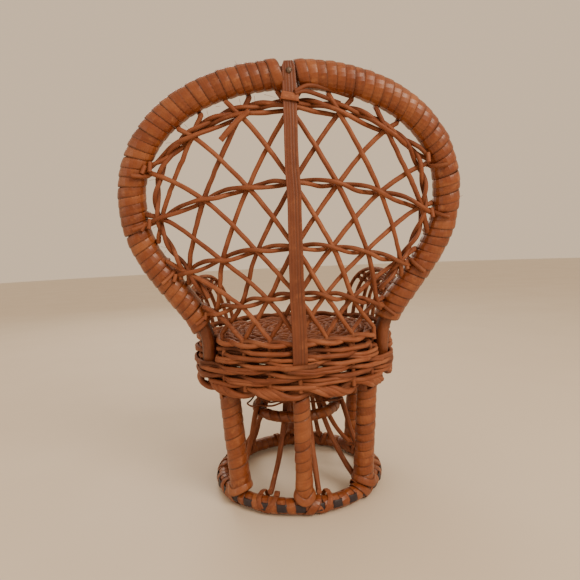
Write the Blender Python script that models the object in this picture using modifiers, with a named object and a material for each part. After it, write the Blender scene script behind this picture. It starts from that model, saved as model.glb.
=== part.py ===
"""Miniature wicker peacock chair: a wrapped hoop with an open lattice back on a round woven seat.

Units are metres, +Z up. The chair faces -Y, so its hoop and lattice stand at +Y and the sitter's
left hand is at +X. The origin is the centre of the footprint, on the surface the chair stands on.
Every length below is written in millimetres times MM, and every angle in degrees.
"""

from math import atan2, cos, degrees, exp, hypot, pi, radians, sin, tan

import bmesh
import bpy
from mathutils import Matrix, Vector

MM = 0.001
GAP = 0.3 * MM  # clearance that touching pieces keep
OBJECT_NAME = "miniature_peacock_chair"

# Base ring, the round foot that the chair stands on
BASE_RADIUS = 50.5 * MM
BASE_TUBE = 5.2 * MM
BASE_WRAP_SIDES = 12  # leaves a flat side underneath, which the chair rests on
BASE_CENTRE_Z = BASE_TUBE * cos(pi / BASE_WRAP_SIDES)
BASE_WRAP = 1.5 * MM
GROOVE_DEPTH = 0.9 * MM
GROOVE_HEIGHT = 2.0 * MM
INLAY_PROUD = 0.1 * MM

# Legs: azimuths are measured from the rear (+Y) towards +X
LEG_AZIMUTHS = {
    "rear": 0.0,
    "rear_left": 49.0,
    "front_left": 122.0,
    "front": 180.0,
    "front_right": -122.0,
    "rear_right": -49.0,
}
LEG_FOOT_RADIUS = 50.5 * MM
LEG_HEAD_RADIUS = 55.5 * MM
LEG_FOOT_Z = 10.9 * MM
LEG_HEAD_Z = 72.6 * MM
CORNER_LEG = 6.0 * MM
CENTRE_LEG = 4.8 * MM
LEG_WRAP = 1.5 * MM

# Waist ring and the spokes that hold it
WAIST_RADIUS = 26.0 * MM
WAIST_TUBE = 3.8 * MM
WAIST_Z = 50.0 * MM
WAIST_WRAP = 1.3 * MM
SPOKE_COUNT = 10
SPOKE_TUBE = 1.7 * MM
SPOKE_START = -11.0
SPOKE_FOOT_RADIUS = 42.8 * MM
SPOKE_FOOT_Z = 8.0 * MM
SPOKE_HEAD_Z = 98.3 * MM
SPOKE_HEAD_RADIUS = 11.5 * MM
SPOKE_HEAD_STAGGER = 3.0 * MM  # how far out and in the heads stand by turns
SPOKE_BOW = 0.5 * MM
SPOKE_SAG = 2.0 * MM

# Seat: a woven disc and the apron that hangs from its rim
STAKE_COUNT = 24
STAKE_WIDTH = 2.4 * MM
SEAT_RADIUS = 61.2 * MM
SEAT_UNDERSIDE_Z = 99.0 * MM
STAKE_FOOT_Z = 77.9 * MM
POST_STAKE = 4  # the stake on each side whose place a hoop post takes
POST_STAKE_REACH = 54.0 * MM  # where those two stakes end, short of the posts
WEAVER_THICK = 2.6 * MM
WEAVER_SWING = 3.0 * MM
WEAVER_POST_SPREAD = 6.3  # degrees over which a weaver gives way to a post
LOWER_POST_PUSH = 3.8 * MM  # the lower weaver passes outside the posts
UPPER_POST_PUSH = -4.6 * MM  # the upper one passes inside them
LOWER_BAND = (78.1 * MM, 88.5 * MM)
UPPER_BAND = (88.9 * MM, 98.5 * MM)
FRAME_RING_RADIUS = 53.0 * MM
FRAME_RING_TUBE = 3.4 * MM
FRAME_RING_Z = 76.9 * MM
BORDER_Z = 75.4 * MM
BORDER_HALF_HEIGHT = 2.1 * MM
BORDER_HALF_WIDTH = 4.3 * MM
RIM_TWINE = 1.6 * MM
RIM_Z = SEAT_UNDERSIDE_Z + STAKE_WIDTH + GAP + RIM_TWINE
RIM_POST_CLEARANCE = 1.4 * MM
RIM_POST_SPREAD = 9.0  # degrees over which the rim swings out round a post
SEAT_WEAVE_RADIUS = 56.0 * MM
SEAT_WEAVE_THICK = 1.5 * MM

# Hoop: a superellipse above its widest point, sweeping in to two upright posts below it
HOOP_HALF_WIDTH = 87.5 * MM
HOOP_WIDEST_Z = 181.0 * MM
HOOP_RISE = 64.2 * MM
HOOP_ROUNDNESS = 2.15
POST_HALF_SPACING = 52.5 * MM
HOOP_SWEEP = 80.0 * MM
HOOP_SWEEP_POWER = 1.2
HOOP_TILT = 12.0
HOOP_FOOT_Y = 33.0 * MM
HOOP_FOOT_Z = 102.0 * MM
POST_END_Z = 82.2 * MM
HOOP_CORE = 4.25 * MM
HOOP_TUBE = 7.6 * MM
HOOP_WRAP_START_Z = 114.0 * MM

# Centre stave, nailed to the back of the hoop
STAVE_THICK = 1.6 * MM
STAVE_FOOT = (64.8 * MM, 89.3 * MM)
STAVE_HEAD_Z = 250.0 * MM
STAVE_FOOT_WIDTH = 8.2 * MM
STAVE_HEAD_WIDTH = 7.0 * MM
STAVE_EDGE = 0.4 * MM
NAIL_SHANK = 0.65 * MM
NAIL_HEAD = 1.5 * MM
NAIL_HEAD_HEIGHT = 0.8 * MM
NAIL_LENGTH = 6.0 * MM
NAIL_POINT = 1.0 * MM
NAIL_HOLE_DEPTH = 9.0 * MM
STAVE_STANDOFF = 0.5 * MM
NOTCH_SIDE_ROOM = 0.7 * MM
NOTCH_BITE = 1.2 * MM  # how far the winding's gap reaches in past the pole's rear
NOTCH_SIZE = 12.0 * MM
LASHING = 0.9 * MM
LASHING_ROOM = 0.5 * MM
LASHING_Z = 233.6 * MM

# Lattice: each row has its height, its column spacing and how far it drops 50 mm from the centre
ROWS = {
    0: (268.0 * MM, 27.5 * MM, 14.0 * MM),
    1: (229.0 * MM, 26.0 * MM, 12.0 * MM),
    2: (190.3 * MM, 24.0 * MM, 7.3 * MM),
    3: (156.1 * MM, 20.0 * MM, 7.5 * MM),
    4: (129.4 * MM, 15.6 * MM, 9.0 * MM),
    5: (105.6 * MM, 15.4 * MM, 0.0),
}
TWINED_ROWS = (1, 2, 3, 4)
LAST_ROW = 5
BOW_REACH = 50.0 * MM
STRAND = 1.35 * MM
TWINE = 1.2 * MM
LAYER = STRAND + GAP / 2
TWINE_OVER = LAYER + STRAND + 2 * GAP + TWINE
TWINE_BESIDE = 1.6 * MM
NODE_CLEARANCE = 0.19  # a row turns back at least this share of a column from a crossing
DIAGONAL_STARTS = range(-5, 2)
DIAGONAL_POINTS = 11
INNER_STRAND = 1.1 * MM
INNER_STRAND_INSET = 13.0 * MM
INNER_STRAND_FORWARD = 7.4 * MM
INNER_STRAND_START_Z = 128.0 * MM
DIAGONAL_MARGIN = 1.4 * MM  # how far a slanting strand stops inside the winding
ROW_MARGIN = 3.0 * MM
ROW_TURN = 1.3 * MM  # how far a row's strand reaches where it doubles back

# Arms: sheaves of strands from the rim, over and back to the hoop
ARM_THICK = 2.4 * MM
ARM_REAR_AZIMUTH = 80.0
ARM_FRONT_AZIMUTH = 136.0
ARM_FOOT_Z = 106.9 * MM
ARM_HOOP_Z = (119.0 * MM, 131.0 * MM)
ARM_RISE_OUT = (4.0 * MM, 5.0 * MM)  # each pair: the rear strand's value, and what the front one adds
ARM_RISE_UP = (13.0 * MM, 26.0 * MM)
ARM_SWEEP = (Vector((3.0, -8.0, 4.0)) * MM, Vector((-6.0, -34.0, 10.0)) * MM)

CANE = ((0.53, 0.22, 0.075), 0.42)
REED = ((0.42, 0.16, 0.065), 0.58)
CORE = ((0.46, 0.2, 0.08), 0.65)
INLAY = ((0.03, 0.025, 0.035), 0.6)


# ---------------------------------------------------------------- helpers


def clear_scene():
    """Removes every object, mesh, curve and collection of the scene."""
    for item in list(bpy.data.objects):
        bpy.data.objects.remove(item, do_unlink=True)
    for group in (bpy.data.meshes, bpy.data.curves, bpy.data.materials, bpy.data.collections):
        for item in list(group):
            group.remove(item)


def new_collection(name):
    """A new collection, linked to the scene."""
    collection = bpy.data.collections.new(name)
    bpy.context.scene.collection.children.link(collection)
    return collection


def new_material(name, finish, metallic=0.0):
    """A plain material from a finish, which is a colour and a roughness."""
    colour, roughness = finish
    material = bpy.data.materials.new(name)
    material.use_nodes = True
    shader = material.node_tree.nodes["Principled BSDF"]
    shader.inputs["Base Color"].default_value = (*colour, 1.0)
    shader.inputs["Roughness"].default_value = roughness
    shader.inputs["Metallic"].default_value = metallic
    material.diffuse_color = (*colour, 1.0)
    return material


def add_object(name, data, material):
    """Places mesh or curve data in the chair's collection as one named piece."""
    item = bpy.data.objects.new(name, data)
    data.materials.append(material)
    PARTS.objects.link(item)
    item.parent = ROOT
    return item


def add_mesh(name, bm, material):
    """Makes a bmesh a piece, shaded smooth except across sharp edges."""
    bmesh.ops.recalc_face_normals(bm, faces=bm.faces)
    mesh = bpy.data.meshes.new(name)
    bm.to_mesh(mesh)
    bm.free()
    mesh.shade_smooth()
    mesh.set_sharp_from_angle(angle=radians(40))
    return add_object(name, mesh, material)


def add_strand(name, points, radius, material, cyclic=False, sides=1):
    """A round strand through the points: a poly curve with a bevel and filled caps."""
    curve = bpy.data.curves.new(name, "CURVE")
    curve.dimensions = "3D"
    curve.bevel_depth = radius
    curve.bevel_resolution = sides
    curve.use_fill_caps = not cyclic
    spline = curve.splines.new("POLY")
    spline.points.add(len(points) - 1)
    for place, point in zip(spline.points, points):
        place.co = (*point, 1.0)
    spline.use_cyclic_u = cyclic
    return add_object(name, curve, material)


def make_mesh(item):
    """Turns a curve piece into a mesh piece with welded caps, ready for a Boolean."""
    bpy.context.view_layer.update()
    evaluated = item.evaluated_get(bpy.context.evaluated_depsgraph_get())
    mesh = bpy.data.meshes.new_from_object(evaluated)
    bm = bmesh.new()
    bm.from_mesh(mesh)
    bmesh.ops.remove_doubles(bm, verts=bm.verts, dist=0.01 * MM)
    bmesh.ops.recalc_face_normals(bm, faces=bm.faces)
    bm.to_mesh(mesh)
    bm.free()
    name, place = item.name, item.matrix_world.copy()
    bpy.data.objects.remove(item, do_unlink=True)
    piece = bpy.data.objects.new(name, mesh)
    PARTS.objects.link(piece)
    piece.parent = ROOT
    piece.matrix_world = place
    return piece


def cut(item, cutter):
    """Takes a cutter's shape out of a piece."""
    modifier = item.modifiers.new("cut", "BOOLEAN")
    modifier.operation = "DIFFERENCE"
    modifier.object = cutter


def add_cutter(name, bm):
    """Makes a bmesh a cutter, which is no piece of the chair."""
    mesh = bpy.data.meshes.new(name)
    bm.to_mesh(mesh)
    bm.free()
    cutter = bpy.data.objects.new(name, mesh)
    CUTTERS.objects.link(cutter)
    cutter.parent = ROOT
    cutter.hide_render = True
    cutter.display_type = "WIRE"
    return cutter


def polar(radius, azimuth, z):
    """A point at an azimuth in degrees from the rear (+Y) towards +X."""
    return Vector((radius * sin(radians(azimuth)), radius * cos(radians(azimuth)), z))


def smooth_step(value):
    """Eases a value from 0 to 1."""
    value = min(1.0, max(0.0, value))
    return value * value * (3 - 2 * value)


def c_section(inner, outer, sides, slit_angle, slit_steps=1):
    """Outline of an open sleeve: an outer arc, and an inner arc back, with a slit at slit_angle."""
    step = 360.0 / sides
    first = slit_angle + step * slit_steps / 2
    angles = [radians(first + step * i) for i in range(sides - slit_steps + 1)]
    outside = [(outer * cos(a), outer * sin(a)) for a in angles]
    inside = [(inner * cos(a), inner * sin(a)) for a in reversed(angles)]
    return outside + inside


def catmull_rom(points, count):
    """Evenly stepped points on a Catmull-Rom spline through the given points."""
    padded = [2 * points[0] - points[1], *points, 2 * points[-1] - points[-2]]
    spans = len(points) - 1
    result = []
    for i in range(count):
        place = i * spans / (count - 1)
        span = min(int(place), spans - 1)
        t = place - span
        a, b, c, d = padded[span : span + 4]
        bend = (2 * a - 5 * b + 4 * c - d) * t**2 + (3 * b - a - 3 * c + d) * t**3
        result.append(0.5 * (2 * b + (c - a) * t + bend))
    return result


# ---------------------------------------------------------------- hoop geometry


def hoop_y(z):
    """Depth of the tilted plane that the hoop lies in."""
    return HOOP_FOOT_Y + (z - HOOP_FOOT_Z) * tan(radians(HOOP_TILT))


def hoop_half_width(z, inset=0.0):
    """Half width of the hoop's centre line at a height, less an inset all round."""
    if z >= HOOP_WIDEST_Z:
        rise = min(1.0, (z - HOOP_WIDEST_Z) / (HOOP_RISE - inset))
        return (HOOP_HALF_WIDTH - inset) * (1 - rise**HOOP_ROUNDNESS) ** (1 / HOOP_ROUNDNESS)
    if inset:
        slope = (hoop_half_width(z + MM) - hoop_half_width(z - MM)) / (2 * MM)
        return hoop_half_width(z) - inset * hypot(1.0, slope)
    fall = ((HOOP_WIDEST_Z - z) / HOOP_SWEEP) ** HOOP_SWEEP_POWER
    return HOOP_HALF_WIDTH - (HOOP_HALF_WIDTH - POST_HALF_SPACING) * smooth_step(fall)


def hoop_path(start_z, side_points, arch_points, inset=0.0, forward=0.0):
    """Points along the hoop from the left post (+X) over the top to the right post."""
    side = []
    for i in range(side_points):
        z = start_z + (HOOP_WIDEST_Z - start_z) * i / side_points
        side.append((hoop_half_width(z, inset), z))
    arch = []
    for i in range(arch_points + 1):
        angle = pi * i / arch_points
        power = 2 / HOOP_ROUNDNESS
        x = (HOOP_HALF_WIDTH - inset) * abs(cos(angle)) ** power
        z = HOOP_WIDEST_Z + (HOOP_RISE - inset) * abs(sin(angle)) ** power
        arch.append((x if angle <= pi / 2 else -x, z))
    outline = side + arch + [(-x, z) for x, z in reversed(side)]
    return [Vector((x, hoop_y(z) - forward, z)) for x, z in outline]


def post_place(z):
    """Radius and azimuth of a post's centre line at a height."""
    depth = hoop_y(z)
    width = hoop_half_width(z)
    return hypot(width, depth), degrees(atan2(width, depth))


# ---------------------------------------------------------------- base, legs and waist


def build_base_ring():
    """The foot ring: a bent core, the cane sleeve wound round it, and the dark inlay in a groove."""
    bpy.ops.mesh.primitive_torus_add(
        major_radius=BASE_RADIUS,
        minor_radius=BASE_TUBE - BASE_WRAP,
        major_segments=36,
        minor_segments=6,
        location=(0, 0, BASE_CENTRE_Z),
    )
    adopt(bpy.context.object, "base_ring_core", MATERIALS["core"])

    outline = c_section(BASE_TUBE - BASE_WRAP + GAP, BASE_TUBE, BASE_WRAP_SIDES, 180.0)
    face, low = max(outline, key=lambda point: (round(point[0], 6), -point[1]))
    floor = face - GROOVE_DEPTH
    edge = GROOVE_HEIGHT / 2
    groove = [(face, -edge), (floor, -edge), (floor, edge), (face, edge)]
    after = outline.index((face, low)) + 1
    grooved = outline[:after] + groove + outline[after:]
    turned("base_ring_binding", [(BASE_RADIUS + a, BASE_CENTRE_Z + b) for a, b in grooved], "cane")

    inner, outer = BASE_RADIUS + floor + GAP, BASE_RADIUS + face + INLAY_PROUD
    low_z, high_z = BASE_CENTRE_Z - edge + GAP, BASE_CENTRE_Z + edge - GAP
    turned("base_ring_inlay", [(outer, low_z), (outer, high_z), (inner, high_z), (inner, low_z)], "inlay")


def turned(name, outline, material, steps=36):
    """A closed anticlockwise outline in the XZ plane turned once round the Z axis."""
    bm = bmesh.new()
    ring = [bm.verts.new((x, 0, z)) for x, z in reversed(outline)]
    for a, b in zip(ring, ring[1:] + ring[:1]):
        bm.edges.new((a, b))
    mesh = bpy.data.meshes.new(name)
    bm.to_mesh(mesh)
    bm.free()
    item = add_object(name, mesh, MATERIALS[material])
    screw = item.modifiers.new("turn", "SCREW")
    screw.steps = steps
    screw.render_steps = steps
    screw.use_merge_vertices = True
    screw.merge_threshold = 0.01 * MM
    return item


def adopt(item, name, material):
    """Names a primitive, gives it its material and moves it to the chair's collection."""
    item.name = name
    item.data.name = name
    item.data.materials.append(material)
    for collection in list(item.users_collection):
        collection.objects.unlink(item)
    PARTS.objects.link(item)
    item.parent = ROOT
    return item


def build_leg(place, azimuth):
    """One leg: a straight pole and the cane sleeve wound round it."""
    radius = CENTRE_LEG if place in ("rear", "front") else CORNER_LEG
    foot = polar(LEG_FOOT_RADIUS, azimuth, LEG_FOOT_Z)
    head = polar(LEG_HEAD_RADIUS, azimuth, LEG_HEAD_Z)
    along = head - foot
    turn = along.to_track_quat("Z", "Y").to_matrix().to_4x4()
    middle = Matrix.Translation((foot + head) / 2) @ turn

    bm = bmesh.new()
    core = radius - LEG_WRAP - GAP
    bmesh.ops.create_cone(
        bm, cap_ends=True, segments=8, radius1=core, radius2=core, depth=along.length, matrix=middle
    )
    add_mesh(f"leg_core_{place}", bm, MATERIALS["core"])

    outline = bpy.data.curves.new(f"leg_binding_{place}", "CURVE")
    outline.dimensions = "2D"
    outline.fill_mode = "BOTH"
    outline.extrude = along.length / 2
    section = c_section(radius - LEG_WRAP, radius, 12, 0.0)
    spline = outline.splines.new("POLY")
    spline.points.add(len(section) - 1)
    for point, (a, b) in zip(spline.points, section):
        point.co = (a, b, 0, 1)
    spline.use_cyclic_u = True
    sleeve = add_object(f"leg_binding_{place}", outline, MATERIALS["cane"])
    inward = Matrix.Rotation(radians(-90 - azimuth), 4, "Z")
    tilt = Matrix.Rotation(atan2(LEG_HEAD_RADIUS - LEG_FOOT_RADIUS, LEG_HEAD_Z - LEG_FOOT_Z), 4, "Y")
    sleeve.matrix_basis = Matrix.Translation((foot + head) / 2) @ inward @ tilt.inverted()


def build_waist_ring():
    """The small wrapped ring that gathers the spokes half-way up."""
    bpy.ops.mesh.primitive_torus_add(
        major_radius=WAIST_RADIUS,
        minor_radius=WAIST_TUBE - WAIST_WRAP - GAP,
        major_segments=24,
        minor_segments=6,
        location=(0, 0, WAIST_Z),
    )
    adopt(bpy.context.object, "waist_ring_core", MATERIALS["core"])
    outline = c_section(WAIST_TUBE - WAIST_WRAP, WAIST_TUBE, 8, 180.0)
    turned("waist_ring_binding", [(WAIST_RADIUS + a, WAIST_Z + b) for a, b in outline], "cane", 24)


def build_spokes():
    """Reeds from the foot ring to the middle of the seat, alternately outside and inside the waist."""
    reach = WAIST_TUBE + 2 * GAP + SPOKE_TUBE
    for i in range(SPOKE_COUNT):
        azimuth = SPOKE_START - 360.0 * i / SPOKE_COUNT
        side = 1 if i % 2 == 0 else -1
        waist = WAIST_RADIUS + side * reach
        head = SPOKE_HEAD_RADIUS + SPOKE_HEAD_STAGGER * side
        below = (SPOKE_FOOT_RADIUS + waist) / 2 + SPOKE_BOW
        above = (waist + head) / 2 - SPOKE_BOW
        route = [
            polar(SPOKE_FOOT_RADIUS, azimuth, SPOKE_FOOT_Z),
            polar(below, azimuth, (SPOKE_FOOT_Z + WAIST_Z) / 2 - SPOKE_SAG),
            polar(waist, azimuth, WAIST_Z),
            polar(above, azimuth, (WAIST_Z + SPOKE_HEAD_Z) / 2),
            polar(head, azimuth, SPOKE_HEAD_Z),
        ]
        add_strand(f"spoke_{i + 1:02d}", catmull_rom(route, 7), SPOKE_TUBE, MATERIALS["reed"])


# ---------------------------------------------------------------- seat


def build_seat_stakes():
    """Flat hub with a stake out of every second side, bent down over the rim into the apron."""
    sides = 2 * STAKE_COUNT
    hub = STAKE_WIDTH / (2 * sin(pi / sides))
    turn = Matrix.Rotation(pi / 2 - pi / sides, 4, "Z")
    bm = bmesh.new()
    bmesh.ops.create_cone(
        bm,
        cap_ends=True,
        segments=sides,
        radius1=hub,
        radius2=hub,
        depth=STAKE_WIDTH,
        matrix=Matrix.Translation((0, 0, SEAT_UNDERSIDE_Z + STAKE_WIDTH / 2)) @ turn,
    )
    flat = hub * cos(pi / sides)
    outward = [polar(1.0, 360.0 * k / STAKE_COUNT, 0.0) for k in range(STAKE_COUNT)]
    roots = [max(bm.faces, key=lambda f: f.calc_center_median().dot(out)) for out in outward]
    for k, (face, out) in enumerate(zip(roots, outward)):
        if k in (POST_STAKE, STAKE_COUNT - POST_STAKE):
            draw(bm, face, out * (POST_STAKE_REACH - flat))
            continue
        corner = draw(bm, face, out * (SEAT_RADIUS - STAKE_WIDTH / 2 - flat))
        tip = draw(bm, corner, out * STAKE_WIDTH)
        lowest = min(tip.edges, key=lambda e: e.verts[0].co.z + e.verts[1].co.z)
        under = next(f for f in lowest.link_faces if f is not tip)
        draw(bm, under, Vector((0, 0, STAKE_FOOT_Z - SEAT_UNDERSIDE_Z)))
    add_mesh("seat_stakes", bm, MATERIALS["reed"])


def draw(bm, face, move):
    """Extrudes one face by a move and returns the new end face."""
    made = bmesh.ops.extrude_discrete_faces(bm, faces=[face])
    end = made["faces"][0]
    bmesh.ops.translate(bm, verts=end.verts, vec=move)
    return end


def build_seat_weave():
    """The woven disc on the stakes."""
    bm = bmesh.new()
    middle = SEAT_UNDERSIDE_Z + STAKE_WIDTH + GAP + SEAT_WEAVE_THICK / 2
    bmesh.ops.create_cone(
        bm,
        cap_ends=True,
        segments=36,
        radius1=SEAT_WEAVE_RADIUS,
        radius2=SEAT_WEAVE_RADIUS,
        depth=SEAT_WEAVE_THICK,
        matrix=Matrix.Translation((0, 0, middle)),
    )
    add_mesh("seat_weave", bm, MATERIALS["reed"])


def weaver_radius(azimuth, phase, post_push):
    """Radius of a weaver that swings in and out of the stakes and gives way to the posts."""
    swing = phase * WEAVER_SWING * cos(radians(azimuth * STAKE_COUNT / 2))
    _, post = post_place((LOWER_BAND[1] + UPPER_BAND[0]) / 2)
    near = min(abs(azimuth - post), abs(azimuth - 360 + post))
    return SEAT_RADIUS + swing + post_push * exp(-((near / WEAVER_POST_SPREAD) ** 2))


def build_weaver(name, span, phase, post_push):
    """One apron weaver: a wavy closed strip on edge, thickened."""
    steps = 4 * STAKE_COUNT
    bm = bmesh.new()
    ring = []
    for i in range(steps):
        azimuth = 360.0 * i / steps
        ring.append(bm.verts.new(polar(weaver_radius(azimuth, phase, post_push), azimuth, span[0])))
    edges = [bm.edges.new((a, b)) for a, b in zip(ring, ring[1:] + ring[:1])]
    made = bmesh.ops.extrude_edge_only(bm, edges=edges)
    top = [v for v in made["geom"] if isinstance(v, bmesh.types.BMVert)]
    bmesh.ops.translate(bm, verts=top, vec=(0, 0, span[1] - span[0]))
    strip = add_mesh(name, bm, MATERIALS["reed"])
    solid = strip.modifiers.new("thickness", "SOLIDIFY")
    solid.thickness = WEAVER_THICK
    solid.offset = 0.0


def build_seat_rings():
    """The frame ring under the seat, the rolled lower border and the twined rim."""
    bpy.ops.mesh.primitive_torus_add(
        major_radius=FRAME_RING_RADIUS,
        minor_radius=FRAME_RING_TUBE,
        major_segments=36,
        minor_segments=6,
        location=(0, 0, FRAME_RING_Z),
    )
    adopt(bpy.context.object, "seat_frame_ring", MATERIALS["core"])

    outline = [
        (SEAT_RADIUS + BORDER_HALF_WIDTH * cos(a), BORDER_Z + BORDER_HALF_HEIGHT * sin(a))
        for a in (2 * pi * i / 6 for i in range(6))
    ]
    turned("seat_lower_border", outline, "reed", 48)

    post_radius, post_azimuth = post_place(RIM_Z)
    push = post_radius + HOOP_CORE + RIM_TWINE + RIM_POST_CLEARANCE - SEAT_RADIUS
    route = []
    steps = 60
    for i in range(steps):
        azimuth = 360.0 * i / steps
        near = min(abs(azimuth - post_azimuth), abs(azimuth - 360 + post_azimuth))
        swing = push * exp(-((near / RIM_POST_SPREAD) ** 2))
        route.append(polar(SEAT_RADIUS + swing, azimuth, RIM_Z))
    add_strand("seat_rim_twine", route, RIM_TWINE, MATERIALS["reed"], cyclic=True)


# ---------------------------------------------------------------- hoop and stave


def stave_y(z):
    """Depth of the stave's centre plane, which leans back from its foot to the hoop's top."""
    top_z = HOOP_WIDEST_Z + HOOP_RISE
    top_y = hoop_y(top_z) + HOOP_CORE + STAVE_STANDOFF + STAVE_THICK / 2
    foot_y, foot_z = STAVE_FOOT
    return foot_y + (z - foot_z) * (top_y - foot_y) / (top_z - foot_z)


def build_hoop():
    """The bent core with its two posts, the wound sleeve, and the hole that takes the nail."""
    rod = hoop_path(POST_END_Z, 12, 22)
    core = make_mesh(add_strand("hoop_core", rod, HOOP_CORE, MATERIALS["core"], sides=2))
    core.data.shade_smooth()
    cut(core, nail_hole())

    section = bpy.data.curves.new("hoop_wrap_section", "CURVE")
    section.dimensions = "2D"
    spline = section.splines.new("POLY")
    outline = c_section(HOOP_CORE + 2 * GAP, HOOP_TUBE, 10, 0.0)
    spline.points.add(len(outline) - 1)
    for point, (a, b) in zip(spline.points, outline):
        point.co = (a, b, 0, 1)
    spline.use_cyclic_u = True
    guide = bpy.data.objects.new("hoop_wrap_section", section)
    guide.hide_render = True
    guide.display_type = "WIRE"
    CUTTERS.objects.link(guide)

    sleeve = add_strand("hoop_binding", hoop_path(HOOP_WRAP_START_Z, 10, 22), 0.0, MATERIALS["cane"])
    sleeve.data.bevel_mode = "OBJECT"
    sleeve.data.bevel_object = guide
    sleeve = make_mesh(sleeve)
    cut(sleeve, stave_notch())


def nail_hole():
    """Cutter for the hole through the stave into the hoop."""
    top_z = HOOP_WIDEST_Z + HOOP_RISE
    bm = bmesh.new()
    rear = stave_y(top_z) + 2 * MM
    middle = Matrix.Translation((0, rear - NAIL_HOLE_DEPTH / 2, top_z)) @ Matrix.Rotation(pi / 2, 4, "X")
    hole = NAIL_SHANK + GAP
    bmesh.ops.create_cone(
        bm, cap_ends=True, segments=8, radius1=hole, radius2=hole, depth=NAIL_HOLE_DEPTH, matrix=middle
    )
    return add_cutter("nail_hole", bm)


def stave_notch():
    """Cutter for the gap in the winding that the stave's head lies in."""
    top_z = HOOP_WIDEST_Z + HOOP_RISE
    front_y = hoop_y(top_z) + HOOP_CORE - NOTCH_BITE
    size = Matrix.Diagonal((STAVE_HEAD_WIDTH + 2 * NOTCH_SIDE_ROOM, NOTCH_SIZE, 2 * NOTCH_SIZE, 1))
    middle = Matrix.Translation((0, front_y + NOTCH_SIZE / 2, top_z))
    bm = bmesh.new()
    bmesh.ops.create_cube(bm, size=1, matrix=middle @ size)
    return add_cutter("stave_notch", bm)


def build_stave():
    """The flat centre stave, its nail and the strand lashed round it."""
    foot_y, foot_z = STAVE_FOOT
    bm = bmesh.new()
    bmesh.ops.create_cube(bm, size=1)
    for corner in bm.verts:
        top = corner.co.z > 0
        width = STAVE_HEAD_WIDTH if top else STAVE_FOOT_WIDTH
        z = STAVE_HEAD_Z if top else foot_z
        corner.co = Vector((corner.co.x * width, stave_y(z) + corner.co.y * STAVE_THICK, z))
    long_edges = [e for e in bm.edges if e.calc_length() > 20 * MM]
    bmesh.ops.bevel(
        bm, geom=long_edges, offset=STAVE_EDGE, segments=1, profile=0.5, affect="EDGES", material=-1
    )
    stave = add_mesh("centre_stave", bm, MATERIALS["core"])
    cut(stave, bpy.data.objects["nail_hole"])

    top_z = HOOP_WIDEST_Z + HOOP_RISE
    seat_y = stave_y(top_z) + STAVE_THICK / 2 + GAP
    outline = [
        (0.0, NAIL_HEAD_HEIGHT),
        (NAIL_HEAD * 0.7, NAIL_HEAD_HEIGHT * 0.875),
        (NAIL_HEAD, NAIL_HEAD_HEIGHT * 0.25),
        (NAIL_HEAD, 0.0),
        (NAIL_SHANK, 0.0),
        (NAIL_SHANK, NAIL_POINT - NAIL_LENGTH),
        (0.0, -NAIL_LENGTH),
    ]
    bm = bmesh.new()
    chain = [bm.verts.new((x, 0, z)) for x, z in outline]
    for a, b in zip(chain, chain[1:]):
        bm.edges.new((a, b))
    mesh = bpy.data.meshes.new("stave_nail")
    bm.to_mesh(mesh)
    bm.free()
    nail = add_object("stave_nail", mesh, MATERIALS["nail"])
    screw = nail.modifiers.new("turn", "SCREW")
    screw.steps = 10
    screw.render_steps = 10
    screw.use_merge_vertices = True
    screw.merge_threshold = 0.01 * MM
    nail.location = (0, seat_y, top_z)
    nail.rotation_euler = (-pi / 2, 0, 0)

    half_width = STAVE_HEAD_WIDTH / 2 + LASHING_ROOM + LASHING
    half_depth = STAVE_THICK / 2 + LASHING_ROOM - 0.1 * MM + LASHING
    middle_y = stave_y(LASHING_Z)
    route = []
    for i in range(12):
        angle = 2 * pi * (i + 0.5) / 12
        x = half_width * max(-1, min(1, 1.25 * cos(angle)))
        y = half_depth * max(-1, min(1, 1.6 * sin(angle)))
        route.append(Vector((x, middle_y + y, LASHING_Z)))
    add_strand("stave_lashing", route, LASHING, MATERIALS["reed"], cyclic=True)


# ---------------------------------------------------------------- lattice


def sheet_y(x, z):
    """Depth of the lattice: it bellies back from the hoop's plane to just in front of the stave."""
    centre = stave_y(z) - STAVE_THICK / 2 - TWINE_OVER - TWINE - GAP
    share = min(1.0, abs(x) / hoop_half_width(min(z, HOOP_WIDEST_Z + 0.9 * HOOP_RISE)))
    return hoop_y(z) + (centre - hoop_y(z)) * (1 - share**2)


def sheet_point(x, z, over):
    """A point of the lattice, moved by over along its outward (rearward) normal."""
    slope_x = (sheet_y(x + MM, z) - sheet_y(x - MM, z)) / (2 * MM)
    slope_z = (sheet_y(x, z + MM) - sheet_y(x, z - MM)) / (2 * MM)
    normal = Vector((-slope_x, 1.0, -slope_z)).normalized()
    return Vector((x, sheet_y(x, z), z)) + normal * over


def row_z(row, x):
    """Height of a row at a distance from the centre."""
    height, _, drop = ROWS[row]
    return height - drop * (x / BOW_REACH) ** 2


def inside_hoop(x, z, margin):
    """Whether a place is inside the hoop by a margin."""
    return z < HOOP_WIDEST_Z + HOOP_RISE - margin and abs(x) < hoop_half_width(z, margin)


def build_diagonal(name, start, lean):
    """One lattice strand that moves one column per row; lean +1 goes up towards +X."""
    route = []
    for row in sorted(ROWS, reverse=True):
        column = start + (LAST_ROW - row)
        x = column * ROWS[row][1]
        route.append(Vector((x, 0, row_z(row, x))))
    fine = [p for p in catmull_rom(route, 120) if inside_hoop(p.x, p.z, HOOP_TUBE + DIAGONAL_MARGIN)]
    points = []
    for i in range(DIAGONAL_POINTS):
        p = fine[round(i * (len(fine) - 1) / (DIAGONAL_POINTS - 1))]
        points.append(sheet_point(p.x * lean, p.z, lean * LAYER))
    add_strand(name, points, STRAND, MATERIALS["reed"])


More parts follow.
